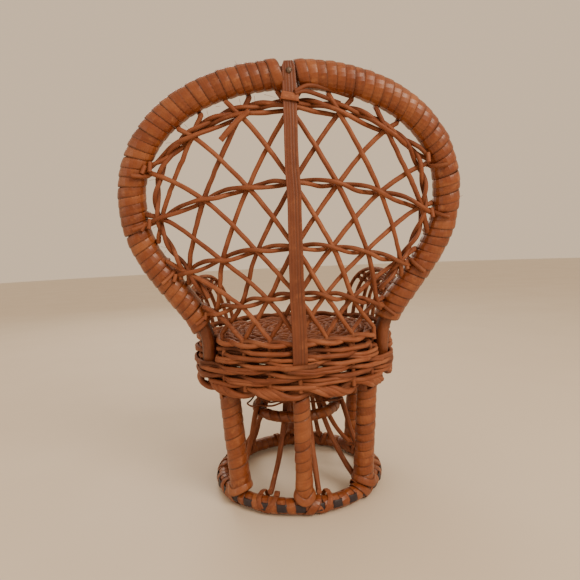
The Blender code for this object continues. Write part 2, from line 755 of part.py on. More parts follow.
def build_row(row):
    """One twined row: a strand doubled back on itself, its halves crossing between the columns."""
    spacing = ROWS[row][1]
    limit = 0.0
    while inside_hoop(limit, row_z(row, limit), HOOP_TUBE + ROW_MARGIN):
        limit += 0.5 * MM
    columns = limit / spacing
    if abs(columns - round(columns)) < NODE_CLEARANCE:
        limit = (round(columns) - 2 * NODE_CLEARANCE) * spacing
    step = spacing / 4
    inner = int((limit - step / 2) / step)
    there, back = [], []
    for x in (-limit, *(step * i for i in range(-inner, inner + 1)), limit):
        phase = pi * x / spacing
        over = TWINE_OVER * cos(phase)
        beside = TWINE_BESIDE * sin(phase)
        z = row_z(row, x)
        there.append(sheet_point(x, z + beside, over))
        back.append(sheet_point(x, z - beside, -over))
    turn = (there[-1] + back[-1]) / 2 + Vector((ROW_TURN, 0, 0))
    add_strand(f"twined_row_{row}", there + [turn] + back[::-1], TWINE, MATERIALS["reed"])


def build_lattice():
    """Both families of slanting strands, the twined rows and the strand that follows the hoop."""
    for i, start in enumerate(DIAGONAL_STARTS, 1):
        build_diagonal(f"lattice_rear_{i}", start, 1)
        build_diagonal(f"lattice_front_{i}", start, -1)
    for row in TWINED_ROWS:
        build_row(row)
    path = hoop_path(INNER_STRAND_START_Z, 8, 18, INNER_STRAND_INSET, INNER_STRAND_FORWARD)
    add_strand("hoop_inner_strand", path, INNER_STRAND, MATERIALS["reed"])


# ---------------------------------------------------------------- arms


def arm_point(share, along):
    """A point of the left arm; share runs from its rear strand to its front one, along from rim to hoop."""
    azimuth = ARM_REAR_AZIMUTH + (ARM_FRONT_AZIMUTH - ARM_REAR_AZIMUTH) * share
    foot = polar(SEAT_RADIUS, azimuth, ARM_FOOT_Z)
    hoop_z = ARM_HOOP_Z[0] + (ARM_HOOP_Z[1] - ARM_HOOP_Z[0]) * share
    end = Vector((hoop_half_width(hoop_z), hoop_y(hoop_z) - HOOP_TUBE - ARM_THICK / 2 - 2 * GAP, hoop_z))
    rise_out = ARM_RISE_OUT[0] + ARM_RISE_OUT[1] * share
    rise = foot + polar(rise_out, azimuth, ARM_RISE_UP[0] + ARM_RISE_UP[1] * share)
    sweep = end + ARM_SWEEP[0] + ARM_SWEEP[1] * share
    t, u = along, 1 - along
    return foot * u**3 + 3 * rise * u * u * t + 3 * sweep * u * t * t + end * t**3


def build_arm(name, side):
    """One arm: the sheaf of strands as one curved band."""
    across, along = 4, 12
    bm = bmesh.new()
    line = []
    for i in range(across + 1):
        p = arm_point(i / across, 0.0)
        line.append(bm.verts.new((p.x * side, p.y, p.z)))
    edges = [bm.edges.new((a, b)) for a, b in zip(line, line[1:])]
    for step in range(1, along + 1):
        made = bmesh.ops.extrude_edge_only(bm, edges=edges)
        edges = [e for e in made["geom"] if isinstance(e, bmesh.types.BMEdge)]
        for vert in {v for e in edges for v in e.verts}:
            here = Vector((vert.co.x * side, *vert.co.yz))
            before = (step - 1) / along
            strand = min(range(across + 1), key=lambda i: (arm_point(i / across, before) - here).length)
            p = arm_point(strand / across, step / along)
            vert.co = (p.x * side, p.y, p.z)
    band = add_mesh(name, bm, MATERIALS["reed"])
    solid = band.modifiers.new("thickness", "SOLIDIFY")
    solid.thickness = ARM_THICK
    solid.offset = 0.0
    solid.use_even_offset = True


# ---------------------------------------------------------------- whole chair


def centre_on_footprint():
    """Moves the whole chair in Y so that the origin is the middle of its bounding box."""
    bpy.context.view_layer.update()
    graph = bpy.context.evaluated_depsgraph_get()
    depths = []
    for item in PARTS.objects:
        if item.type == "EMPTY":
            continue
        evaluated = item.evaluated_get(graph)
        mesh = evaluated.to_mesh()
        depths += [(evaluated.matrix_world @ v.co).y for v in mesh.vertices]
        evaluated.to_mesh_clear()
    ROOT.location.y = -(min(depths) + max(depths)) / 2


clear_scene()
PARTS = new_collection(OBJECT_NAME)
CUTTERS = new_collection(f"{OBJECT_NAME}_cutters")
ROOT = bpy.data.objects.new("chair_origin", None)
PARTS.objects.link(ROOT)
MATERIALS = {
    "cane": new_material("cane_peel", CANE),
    "reed": new_material("round_reed", REED),
    "core": new_material("rattan_pole", CORE),
    "inlay": new_material("dark_inlay", INLAY),
    "nail": new_material("nail_steel", ((0.35, 0.33, 0.31), 0.4), metallic=1.0),
}

build_base_ring()
for leg_place, leg_azimuth in LEG_AZIMUTHS.items():
    build_leg(leg_place, leg_azimuth)
build_waist_ring()
build_spokes()
build_seat_stakes()
build_seat_weave()
build_weaver("seat_weaver_lower", LOWER_BAND, 1, LOWER_POST_PUSH)
build_weaver("seat_weaver_upper", UPPER_BAND, -1, UPPER_POST_PUSH)
build_seat_rings()
build_hoop()
build_stave()
build_lattice()
build_arm("arm_left", 1)
build_arm("arm_right", -1)
centre_on_footprint()
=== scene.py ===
"""Looks of a miniature wicker peacock chair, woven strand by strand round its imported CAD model.

Lengths are metres, written in millimetres times MM; angles are degrees; +Z is up. The chair faces -Y,
so its hoop and lattice stand at +Y. Azimuths are measured round the foot ring's axis from the rear
(+Y) towards +X, which is the sitter's left.
"""

from __future__ import annotations

import logging
import random
from dataclasses import dataclass, field
from enum import Enum
from functools import cached_property
from math import atan2, ceil, cos, degrees, exp, floor, hypot, pi, radians, sin, tan
from typing import Callable, Sequence

import bmesh
import bpy
from mathutils import Matrix, Vector, noise


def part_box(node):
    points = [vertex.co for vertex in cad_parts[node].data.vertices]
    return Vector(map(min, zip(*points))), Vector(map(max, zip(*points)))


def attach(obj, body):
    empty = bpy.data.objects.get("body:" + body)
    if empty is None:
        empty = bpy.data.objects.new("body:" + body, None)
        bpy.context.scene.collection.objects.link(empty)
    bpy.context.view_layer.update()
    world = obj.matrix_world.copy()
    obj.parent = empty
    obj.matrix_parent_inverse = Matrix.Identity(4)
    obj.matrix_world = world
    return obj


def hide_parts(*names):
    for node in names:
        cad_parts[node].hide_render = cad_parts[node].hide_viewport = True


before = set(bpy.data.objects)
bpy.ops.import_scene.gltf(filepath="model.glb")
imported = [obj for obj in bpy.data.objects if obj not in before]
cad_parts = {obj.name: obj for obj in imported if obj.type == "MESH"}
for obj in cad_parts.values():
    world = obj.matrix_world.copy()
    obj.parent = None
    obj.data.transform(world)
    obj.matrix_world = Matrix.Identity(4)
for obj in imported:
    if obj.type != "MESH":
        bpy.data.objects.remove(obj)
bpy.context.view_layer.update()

MM = 0.001
UP = Vector((0.0, 0.0, 1.0))
ROOT = "root"
FULL_TURN = 360.0
log = logging.getLogger("peacock_chair")

Colour = tuple[float, float, float]


# ---------------------------------------------------------------- strands


class Section(Enum):
    """Cross-sections that strands are cut to."""

    ROUND = "round"
    PEEL = "peel"
    SLAT = "slat"


CHUNK = 48  # points of a strand that are worked on at a time
SIDES = {Section.ROUND: 8, Section.PEEL: 12, Section.SLAT: 44}
PEEL_BELLY = 0.35  # how far a peel's underside bulges, as a share of its crown
PEEL_SQUARENESS = 0.6
PEEL_ROUNDNESS = 0.9
SLAT_SQUARENESS = 0.22
SLAT_FACE = 0.93  # half width of the slat's flat face, as a share of its half width
SLAT_CORNER = 0.97
SLAT_GROOVES = (-0.52, -0.12, 0.33, 0.7)  # across the slat, as shares of its half width
SLAT_GROOVE_WIDTH = 0.075
SLAT_GROOVE_DEPTH = 0.34
WELD = 1e-7  # how near points must lie to be one
GRAIN_START = 0.137  # how far apart two strands of a piece start in the grain


def signed_power(value: float, power: float) -> float:
    """Raises a number's size to a power and keeps its sign."""
    return (abs(value) ** power) * (1 if value >= 0 else -1)


def groove_depth(x: float) -> float:
    """How deep the slat's grooves are at a place across it, from 0 to 1."""
    return min(1.0, sum(exp(-(((x - groove) / SLAT_GROOVE_WIDTH) ** 2)) for groove in SLAT_GROOVES))


def shape_section(section: Section, verts: Sequence[bmesh.types.BMVert]) -> None:
    """Pushes a unit circle's vertices to a section's outline, +Y outwards.

    Args:
        section: The outline wanted.
        verts: Vertices of a circle of radius 1 about the origin.
    """
    if section is Section.ROUND:
        return
    for vert in verts:
        x, y = vert.co.x, vert.co.y
        if section is Section.PEEL:
            vert.co.x = signed_power(x, PEEL_SQUARENESS)
            vert.co.y = signed_power(y, PEEL_ROUNDNESS) * (1.0 if y > 0 else PEEL_BELLY)
        else:
            vert.co.x = signed_power(x, SLAT_SQUARENESS)
            vert.co.y = signed_power(y, SLAT_SQUARENESS)
    if section is Section.SLAT:
        front = [v for v in verts if abs(v.co.x) < SLAT_CORNER and v.co.y > 0]
        front.sort(key=lambda v: v.co.x)
        for place, vert in enumerate(front):
            vert.co.x = SLAT_FACE * (2 * place / (len(front) - 1) - 1)
            vert.co.y -= SLAT_GROOVE_DEPTH * groove_depth(vert.co.x)


Along = float | Sequence[float]


def at(value: Along, place: int) -> float:
    """Reads a value that is the same all along a strand or differs at each point."""
    return value if isinstance(value, (int, float)) else value[place]


@dataclass
class Strand:
    """One length of cane or reed.

    Attributes:
        line: Points that its middle follows.
        wide: Half width.
        thick: Half thickness; None makes it as thick as it is wide.
        facing: Outward direction at each point; None lets the strand roll freely.
        tone: Lightness from 0 to 1.
        hidden: How deep in the weave it lies, from 0 to 1, which the finish paints as shade.
        section: Its cross-section.
    """

    line: Sequence[Vector]
    wide: Along
    thick: Along | None = None
    facing: Sequence[Vector] | None = None
    tone: Along = 0.5
    hidden: Along = 0.0
    section: Section = Section.ROUND

    def places(self) -> list[Matrix]:
        """Works out where the section stands at each point.

        Returns:
            A frame for each point: X across, Y outwards, Z along, all scaled to the strand.
        """
        result, outward = [], None
        last = len(self.line) - 1
        for i, point in enumerate(self.line):
            ahead = (self.line[min(i + 1, last)] - self.line[max(i - 1, 0)]).normalized()
            if self.facing is not None:
                outward = self.facing[i]
            elif outward is None:
                outward = UP if abs(ahead.z) < 0.8 else Vector((0.0, 1.0, 0.0))
            outward = (outward - ahead * outward.dot(ahead)).normalized()
            wide = at(self.wide, i)
            thick = wide if self.thick is None else at(self.thick, i)
            turned = Matrix((outward.cross(ahead) * wide, outward * thick, ahead * wide)).transposed()
            result.append(Matrix.Translation(point) @ turned.to_4x4())
        return result

    def mesh(self, start: float) -> bpy.types.Mesh:
        """Draws the section along the line and closes both ends.

        Args:
            start: Where along its own length the grain starts, so that no two strands match.

        Returns:
            A mesh with the grain's own coordinates in "run" and tone, depth for painted shade and side in
            "skin".
        """
        bm = bmesh.new()
        run = bm.verts.layers.float_vector.new("run")
        skin = bm.verts.layers.float_vector.new("skin")
        made = bmesh.ops.create_circle(bm, segments=SIDES[self.section], radius=1.0)
        ring, edges = made["verts"], bm.edges[:]
        shape_section(self.section, ring)
        places = self.places()
        wide = at(self.wide, 0)
        thick = wide if self.thick is None else at(self.thick, 0)
        for vert in ring:
            vert[run] = (start, vert.co.x * wide, vert.co.y * thick)
            # On a slat the side holds groove depth, so the edge shade paints shade into the grooves.
            side = groove_depth(vert.co.x) if self.section is Section.SLAT else vert.co.x
            vert[skin] = (at(self.tone, 0), at(self.hidden, 0), side)
        bmesh.ops.transform(bm, matrix=places[0], verts=ring)
        whole = bmesh.new()
        self.cap(bm, edges)
        travel = start
        for i in range(1, len(places)):
            if i % CHUNK == 0:
                ring, edges = self.pass_on(bm, whole, ring)
                run, skin = (bm.verts.layers.float_vector[name] for name in ("run", "skin"))
            step = places[i] @ places[i - 1].inverted()
            made = bmesh.ops.extrude_edge_only(bm, edges=edges)["geom"]
            ring = [v for v in made if isinstance(v, bmesh.types.BMVert)]
            edges = [e for e in made if isinstance(e, bmesh.types.BMEdge)]
            bmesh.ops.transform(bm, matrix=step, verts=ring)
            travel += (self.line[i] - self.line[i - 1]).length
            tone, hidden = at(self.tone, i), at(self.hidden, i)
            for vert in ring:
                grain = vert[run]
                vert[run] = (travel, grain.y, grain.z)
                vert[skin] = (tone, hidden, vert[skin].z)
        self.cap(bm, edges)
        self.pass_on(bm, whole, ring)
        bm.free()
        bmesh.ops.remove_doubles(whole, verts=whole.verts, dist=WELD)
        bmesh.ops.recalc_face_normals(whole, faces=whole.faces)
        for face in whole.faces:
            face.smooth = True
        mesh = bpy.data.meshes.new("strand")
        whole.to_mesh(mesh)
        whole.free()
        return mesh

    @staticmethod
    def cap(bm: bmesh.types.BMesh, rim: list[bmesh.types.BMEdge]) -> None:
        """Closes an end of the strand with a flat cut.

        Args:
            bm: The strand's bmesh.
            rim: Edges of its end.
        """
        bmesh.ops.contextual_create(bm, geom=rim)
        for edge in rim:
            edge.smooth = False

    @staticmethod
    def pass_on(
        bm: bmesh.types.BMesh, whole: bmesh.types.BMesh, ring: list[bmesh.types.BMVert]
    ) -> tuple[list[bmesh.types.BMVert], list[bmesh.types.BMEdge]]:
        """Moves a finished stretch to the whole strand, because short meshes are quick to work on.

        Args:
            bm: The stretch in hand, which keeps only its last ring.
            whole: The whole strand, which gains the stretch.
            ring: Vertices of the last ring.

        Returns:
            The last ring's vertices and edges in the stretch that follows.
        """
        stretch = bpy.data.meshes.new("stretch")
        bm.to_mesh(stretch)
        whole.from_mesh(stretch)
        bpy.data.meshes.remove(stretch)
        kept = set(ring)
        bmesh.ops.delete(bm, geom=bm.faces[:], context="FACES_ONLY")
        bmesh.ops.delete(bm, geom=[v for v in bm.verts if v not in kept], context="VERTS")
        return bm.verts[:], bm.edges[:]


class Piece:
    """One named piece of the chair, which collects the strands that it is woven from."""

    def __init__(self, name: str) -> None:
        """Starts an empty piece.

        Args:
            name: The piece's name.
        """
        self.name = name
        self.bm = bmesh.new()
        self.strands = 0

    def lay(self, *strands: Strand) -> None:
        """Adds strands to the piece.

        Args:
            strands: The strands.
        """
        for strand in strands:
            self.strands += 1
            mesh = strand.mesh(start=GRAIN_START * self.strands)
            self.bm.from_mesh(mesh)
            bpy.data.meshes.remove(mesh)

    def finish(self, material: bpy.types.Material, slot: str, *nodes: str) -> bpy.types.Object:
        """Makes the piece's object, which rides on the chair and stands for CAD nodes.

        Args:
            material: Its finish.
            slot: The record's material slot that the finish belongs to; not used.
            nodes: CAD nodes that it stands for.

        Returns:
            The object.
        """
        mesh = bpy.data.meshes.new(self.name)
        self.bm.to_mesh(mesh)
        self.bm.free()
        mesh.materials.append(material)
        item = bpy.data.objects.new(self.name, mesh)
        bpy.context.scene.collection.objects.link(item)
        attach(item, ROOT)
        if nodes:
            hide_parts(*nodes)
        log.info("%s: %d strands, %d faces", self.name, self.strands, len(mesh.polygons))
        return item


class Path:
    """A line that can be read at any distance along it."""

    def __init__(self, points: Sequence[Vector]) -> None:
        """Measures the line.

        Args:
            points: Points along it.
        """
        self.points = list(points)
        self.marks = [0.0]
        for a, b in zip(self.points, self.points[1:]):
            self.marks.append(self.marks[-1] + (b - a).length)
        self.length = self.marks[-1]
        self.last = 0

    def at(self, distance: float) -> Vector:
        """Gives a point of the line, which runs straight on past either end.

        Args:
            distance: How far along the line.

        Returns:
            The point.
        """
        i = self.last
        while i < len(self.points) - 2 and distance > self.marks[i + 1]:
            i += 1
        while i > 0 and distance < self.marks[i]:
            i -= 1
        self.last = i
        share = (distance - self.marks[i]) / (self.marks[i + 1] - self.marks[i])
        return self.points[i].lerp(self.points[i + 1], share)

    def along(self, distance: float) -> Vector:
        """Gives the direction at a distance."""
        return (self.at(distance + MM) - self.at(distance - MM)).normalized()

    def even(self, count: int, start: float = 0.0, end: float | None = None) -> list[Vector]:
        """Gives evenly spaced points between two distances."""
        end = self.length if end is None else end
        return [self.at(start + (end - start) * i / (count - 1)) for i in range(count)]


def smooth_line(points: Sequence[Vector], count: int) -> list[Vector]:
    """Runs a Catmull-Rom curve through points.

    Args:
        points: Points to pass through.
        count: How many points to return.

    Returns:
        Evenly stepped points on the curve.
    """
    padded = [2 * points[0] - points[1], *points, 2 * points[-1] - points[-2]]
    spans = len(points) - 1
    result = []
    for i in range(count):
        place = i * spans / (count - 1)
        span = min(int(place), spans - 1)
        t = place - span
        a, b, c, d = padded[span : span + 4]
        bend = (2 * a - 5 * b + 4 * c - d) * t**2 + (3 * b - a - 3 * c + d) * t**3
        result.append(0.5 * (2 * b + (c - a) * t + bend))
    return result


def drift(place: float, seed: float) -> float:
    """Gives a slow, repeatable wander from -1 to 1."""
    return max(-1.0, min(1.0, 1.6 * noise.noise(Vector((place, seed * 7.31, 3.7)))))


def smooth_step(value: float) -> float:
    """Eases a value from 0 to 1."""
    value = min(1.0, max(0.0, value))
    return value * value * (3 - 2 * value)


class Wander(Enum):
    """What wanders from turn to turn of a winding: how fast it changes, and its own seed."""

    SHIFT = (3.3, 0.0)
    LEAN = (1.9, 5.0)
    RISE = (2.7, 9.0)
    WIDTH = (0.9, 13.0)
    CROWN = (1.3, 17.0)
    TONE = (5.7, 21.0)
    TIP = (4.1, 25.0)


@dataclass
class Winding:
    """A strip of cane peel wound round a rod.

    Attributes:
        core: The rod's centre line.
        facing: Gives the direction that angle 0 points in, at a distance along the rod.
        radius: Radius of the strip's underside.
        pitch: Distance between turns.
        start: Where the winding starts.
        end: Where it stops.
        thick: Height of the strip's crown.
        overlap: Strip width over pitch.
        unevenness: How unevenly the turns lie, as a share of the pitch.
        slant: How far a turn leans along the rod from one side to the other.
        lift: Extra radius by turn number and angle in degrees.
        shingle: How far each turn tips to lie on the one before.
        steps: Points in each turn.
        seed: Makes each winding different.
        settling: How much of a turn it takes to settle into its own place.
        lean_share: How much of the lean moves a turn's sides, as a share of the pitch.
        lean_wander: How unevenly the turns lean.
        rise_wander: How unevenly they stand out.
        width_wander: How unevenly wide the strip is.
        crown_wander: How unevenly thick it is.
        tip_wander: How unevenly its turns tip.
    """

    core: Path
    facing: Callable[[float], Vector]
    radius: float
    pitch: float
    start: float
    end: float
    thick: float = 0.75 * MM
    overlap: float = 1.1
    unevenness: float = 0.16
    slant: float = 0.0
    lift: Callable[[int, float], float] | None = None
    shingle: float = 0.0
    steps: int = 18
    seed: float = 1.0
    settling: float = 0.2
    lean_share: float = 0.25
    lean_wander: float = 0.35
    rise_wander: float = 0.18 * MM
    width_wander: float = 0.09
    crown_wander: float = 0.15
    tip_wander: float = 0.6

    def wander(self, kind: Wander, turn: float) -> float:
        """Gives this winding's own wander at a turn, from -1 to 1."""
        stride, salt = kind.value
        return drift(turn * stride, self.seed + salt)

    def turn_place(self, distance: float, angle: float, radius: float) -> tuple[Vector, Vector]:
        """Finds a place on the rod.

        Args:
            distance: How far along the rod.
            angle: Angle round it, in degrees from its facing.
            radius: How far out.

        Returns:
            The point, and the outward direction there.
        """
        along = self.core.along(distance)
        ahead = self.facing(distance)
        ahead = (ahead - along * ahead.dot(along)).normalized()
        outward = ahead * cos(radians(angle)) + along.cross(ahead) * sin(radians(angle))
        return self.core.at(distance) + outward * radius, outward

    def strand(self) -> Strand:
        """Winds the strip.

        Returns:
            The strip as one strand.
        """
        turns = (self.end - self.start) / self.pitch
        count = ceil(turns * self.steps)
        line, facing, wide, thick, tone = [], [], [], [], []
        for i in range(count + 1):
            turn = turns * i / count
            number = floor(turn)
            angle = FULL_TURN * (turn % 1.0) - FULL_TURN / 2
            settled = smooth_step((turn % 1.0) / self.settling)

            def settle(kind: Wander) -> float:
                """Eases a wander from the turn before to this one."""
                return self.wander(kind, number) * settled + self.wander(kind, number - 1) * (1 - settled)

            lean = self.slant + self.lean_wander * self.wander(Wander.LEAN, number)
            moved = self.unevenness * settle(Wander.SHIFT) + self.lean_share * lean * sin(radians(angle))
            distance = self.start + (turn + moved) * self.pitch
            raised = self.rise_wander * self.wander(Wander.RISE, number + angle / (1.5 * FULL_TURN))
            if self.lift is not None:
                raised += self.lift(number, angle)
            point, outward = self.turn_place(distance, angle, self.radius + raised)
            tip = self.shingle * (1 + self.tip_wander * self.wander(Wander.TIP, number))
            width = self.overlap * (1 + self.width_wander * self.wander(Wander.WIDTH, turn))
            line.append(point)
            facing.append((outward + self.core.along(distance) * tip).normalized())
            wide.append(0.5 * self.pitch * width)
            thick.append(self.thick * (1 + self.crown_wander * self.wander(Wander.CROWN, turn)))
            tone.append(0.5 + 0.5 * settle(Wander.TONE))
        return Strand(line, wide, thick, facing, tone, 0.0, Section.PEEL)


# ---------------------------------------------------------------- finishes


class Graph:
    """Short calls that wire one node tree."""

    def __init__(self, tree: bpy.types.NodeTree) -> None:
        """Keeps the tree.

        Args:
            tree: The tree to add nodes to.
        """
        self.tree = tree

    def node(self, kind: str, **settings: object) -> bpy.types.Node:
        """Adds a node.

        Args:
            kind: The node's type.
            settings: Its properties and their values.

        Returns:
            The node.
        """
        node = self.tree.nodes.new(kind)
        for name, value in settings.items():
            setattr(node, name, value)
        return node

    def feed(self, socket: bpy.types.NodeSocket, source: object) -> None:
        """Links a socket to an output, or sets it to a value.

        Args:
            socket: The input socket.
            source: An output socket or a value.
        """
        if isinstance(source, bpy.types.NodeSocket):
            self.tree.links.new(source, socket)
        else:
            socket.default_value = source

    def maths(self, operation: str, *values: object, clamp: bool = False) -> bpy.types.NodeSocket:
        """Adds a Math node.

        Args:
            operation: What it works out.
            values: Its inputs in order, each a socket or a number.
            clamp: Whether the result is kept between 0 and 1.

        Returns:
            The result's socket.
        """
        node = self.node("ShaderNodeMath", operation=operation, use_clamp=clamp)
        for socket, value in zip(node.inputs, values):
            self.feed(socket, value)
        return node.outputs[0]

    def mix(self, share: object, a: object, b: object) -> bpy.types.NodeSocket:
        """Mixes two colours.

        Args:
            share: How much of the second colour shows.
            a: The first colour.
            b: The second colour.

        Returns:
            The mixed colour's socket.
        """
        node = self.node("ShaderNodeMix", data_type="RGBA")
        factor, first, second = (node.inputs[i] for i in (0, 6, 7))
        for socket, source in ((factor, share), (first, a), (second, b)):
            self.feed(socket, source)
        return node.outputs[2]

    def spread(
        self, value: object, low: float, high: float, to_low: float = 0.0, to_high: float = 1.0
    ) -> bpy.types.NodeSocket:
        """Maps a value from one range to another, eased and clamped.

        Args:
            value: The value.
            low: Where its range starts.
            high: Where its range ends.
            to_low: What the start becomes.
            to_high: What the end becomes.

        Returns:
            The new value's socket.
        """
        node = self.node("ShaderNodeMapRange", interpolation_type="SMOOTHSTEP")
        for socket, source in zip(node.inputs, (value, low, high, to_low, to_high)):
            self.feed(socket, source)
        return node.outputs[0]

    def cloud(
        self, vector: object, scale: object, detail: float = 3.0, rough: float = 0.55
    ) -> bpy.types.NodeSocket:
        """Adds noise.

        Args:
            vector: The coordinates it reads.
            scale: How fine it is.
            detail: How many finer layers it has.
            rough: How strong those are.

        Returns:
            Its value's socket.
        """
        node = self.node("ShaderNodeTexNoise")
        sources = {"Vector": vector, "Scale": scale, "Detail": detail, "Roughness": rough}
        for name, source in sources.items():
            self.feed(node.inputs[name], source)
        return node.outputs["Fac"]

    def relief(
        self, shader: bpy.types.ShaderNode, height: bpy.types.NodeSocket, strength: float, depth: float
    ) -> None:
        """Gives a shader fine relief.

        Args:
            shader: The surface shader.
            height: The relief's height.
            strength: How strongly it shows.
            depth: Its real depth.
        """
        bump = self.node("ShaderNodeBump")
        for name, value in (("Strength", strength), ("Distance", depth), ("Height", height)):
            self.feed(bump.inputs[name], value)
        self.feed(shader.inputs["Normal"], bump.outputs["Normal"])


def start_material(name: str) -> tuple[bpy.types.Material, Graph, bpy.types.ShaderNode]:
    """Makes a material.

    Args:
        name: Its name.

    Returns:
        The material, its graph and its surface shader.
    """
    made = bpy.data.materials.new(name)
    made.use_nodes = True
    return made, Graph(made.node_tree), made.node_tree.nodes["Principled BSDF"]


def start_group(
    name: str, inputs: dict[str, object], outputs: dict[str, str]
) -> tuple[Graph, dict, dict]:
    """Opens a new shader node group.

    Args:
        name: The group's name.
        inputs: Input names and their default values; a 3-tuple makes a vector, a 4-tuple a colour.
        outputs: Output names and their socket types.

    Returns:
        The graph, its input sockets by name and its output sockets by name.
    """
    tree = bpy.data.node_groups.new(name, "ShaderNodeTree")
    for label, value in inputs.items():
        size = len(value) if isinstance(value, tuple) else 1
        kind = {1: "NodeSocketFloat", 3: "NodeSocketVector", 4: "NodeSocketColor"}[size]
        socket = tree.interface.new_socket(label, in_out="INPUT", socket_type=kind)
        socket.default_value = value
    for label, kind in outputs.items():
        tree.interface.new_socket(label, in_out="OUTPUT", socket_type=kind)
    graph = Graph(tree)
    entry = graph.node("NodeGroupInput")
    leave = graph.node("NodeGroupOutput")
    return graph, entry.outputs, leave.inputs


def fibre_grain_group() -> bpy.types.NodeTree:
    """Grain that runs along a strand: fine fibres, wide streaks and the relief that they leave.

    Returns:
        The node group.
    """
    graph, given, out = start_group(
        "fibre_grain",
        {"Run": (0.0, 0.0, 0.0), "Tone": 0.5, "Fibre Width": 0.0003, "Fibre Length": 0.02},
        {"Fibre": "NodeSocketFloat", "Streak": "NodeSocketFloat", "Relief": "NodeSocketFloat"},
    )
    parts = graph.node("ShaderNodeSeparateXYZ")
    graph.feed(parts.inputs[0], given["Run"])
    along = graph.maths("DIVIDE", parts.outputs[0], given["Fibre Length"])
    shifted = graph.maths("MULTIPLY_ADD", given["Tone"], 31.0, along)

    def stretched(times: float) -> bpy.types.NodeSocket:
        """Joins the strand's coordinates, with the cross directions this many fibres wide.

        Args:
            times: How many fibres wide a streak is.

        Returns:
            The coordinates' socket.
        """
        node = graph.node("ShaderNodeCombineXYZ")
        graph.feed(node.inputs[0], shifted)
        for i in (1, 2):
            share = graph.maths("DIVIDE", parts.outputs[i], given["Fibre Width"])
            graph.feed(node.inputs[i], graph.maths("MULTIPLY", share, 1.0 / times))
        return node.outputs[0]

    fine = graph.cloud(stretched(1.0), 1.0, 4.0, 0.62)
    wide = graph.cloud(stretched(4.0), 1.0, 2.0, 0.5)
    graph.feed(out["Fibre"], graph.spread(fine, 0.33, 0.68))
    graph.feed(out["Streak"], graph.spread(wide, 0.36, 0.66))
    graph.feed(out["Relief"], graph.maths("MULTIPLY_ADD", wide, 0.6, fine))
    return graph.tree


def shade_and_wear_group() -> bpy.types.NodeTree:
    """Age on the cane, and painted shade: blotches, places rubbed pale, and painted shade on strip edges, in
    slat grooves and deep in the weave, broken up by speckle.

    Returns:
        The node group.
    """
    graph, given, out = start_group(
        "wear_and_shade",
        {"Skin": (0.5, 0.0, 0.0), "Blotch Size": 0.012, "Edge Shade": 0.6},
        {"Blotch": "NodeSocketFloat", "Painted Shade": "NodeSocketFloat", "Rubbed": "NodeSocketFloat"},
    )
    place = graph.node("ShaderNodeTexCoord").outputs["Object"]
    parts = graph.node("ShaderNodeSeparateXYZ")
    graph.feed(parts.inputs[0], given["Skin"])
    blotch = graph.cloud(place, graph.maths("DIVIDE", 1.0, given["Blotch Size"]), 3.0, 0.6)
    graph.feed(out["Blotch"], graph.spread(blotch, 0.34, 0.66))
    # Painted shade: strip edges, slat grooves and strands that lie deep in the weave are darkened, broken up
    # by speckle.
    side = graph.maths("ABSOLUTE", parts.outputs[2])
    edge = graph.maths("MULTIPLY", graph.spread(side, 0.62, 1.0), given["Edge Shade"])
    deep = graph.maths("MAXIMUM", edge, parts.outputs[1])
    specks = graph.cloud(place, 900.0, 3.0, 0.7)
    speckle = graph.spread(specks, 0.2, 0.62, 0.62, 1.0)
    graph.feed(out["Painted Shade"], graph.maths("MULTIPLY", deep, speckle, clamp=True))
    rub = graph.cloud(place, 210.0, 4.0, 0.65)
    crown = graph.spread(side, 0.15, 0.8, 1.0, 0.0)
    graph.feed(out["Rubbed"], graph.maths("MULTIPLY", graph.spread(rub, 0.52, 0.72), crown, clamp=True))
    return graph.tree


def strand_colour_group() -> bpy.types.NodeTree:
    """Colours a strand from its tone, grain and wear, and darkens it with painted shade.

    Returns:
        The node group.
    """
    graph, given, out = start_group(
        "strand_colour",
        {
            "Tone": 0.5,
            "Fibre": 0.5,
            "Streak": 0.5,
            "Blotch": 0.5,
            "Painted Shade": 0.0,
            "Rubbed": 0.0,
            "Dark": (0.1, 0.03, 0.01, 1.0),
            "Body": (0.4, 0.15, 0.06, 1.0),
            "Light": (0.6, 0.3, 0.15, 1.0),
            "Shade Colour": (0.03, 0.012, 0.006, 1.0),
        },
        {"Colour": "NodeSocketColor"},
    )
    base = graph.mix(graph.spread(given["Tone"], 0.0, 1.0, 0.0, 0.8), given["Dark"], given["Body"])
    base = graph.mix(graph.maths("MULTIPLY", given["Streak"], 0.55), base, given["Body"])
    pale = graph.maths("MULTIPLY", given["Blotch"], graph.spread(given["Tone"], 0.2, 1.0, 0.12, 0.6))
    base = graph.mix(pale, base, given["Light"])
    thin = graph.maths("MULTIPLY", graph.maths("SUBTRACT", 1.0, given["Fibre"]), 0.42)
    base = graph.mix(thin, base, given["Dark"])
    base = graph.mix(graph.maths("MULTIPLY", given["Rubbed"], 0.5), base, given["Light"])
    # Painted shade: the colour goes towards the shade colour where the painted shade mask is strong.
    graph.feed(out["Colour"], graph.mix(given["Painted Shade"], base, given["Shade Colour"]))
    return graph.tree


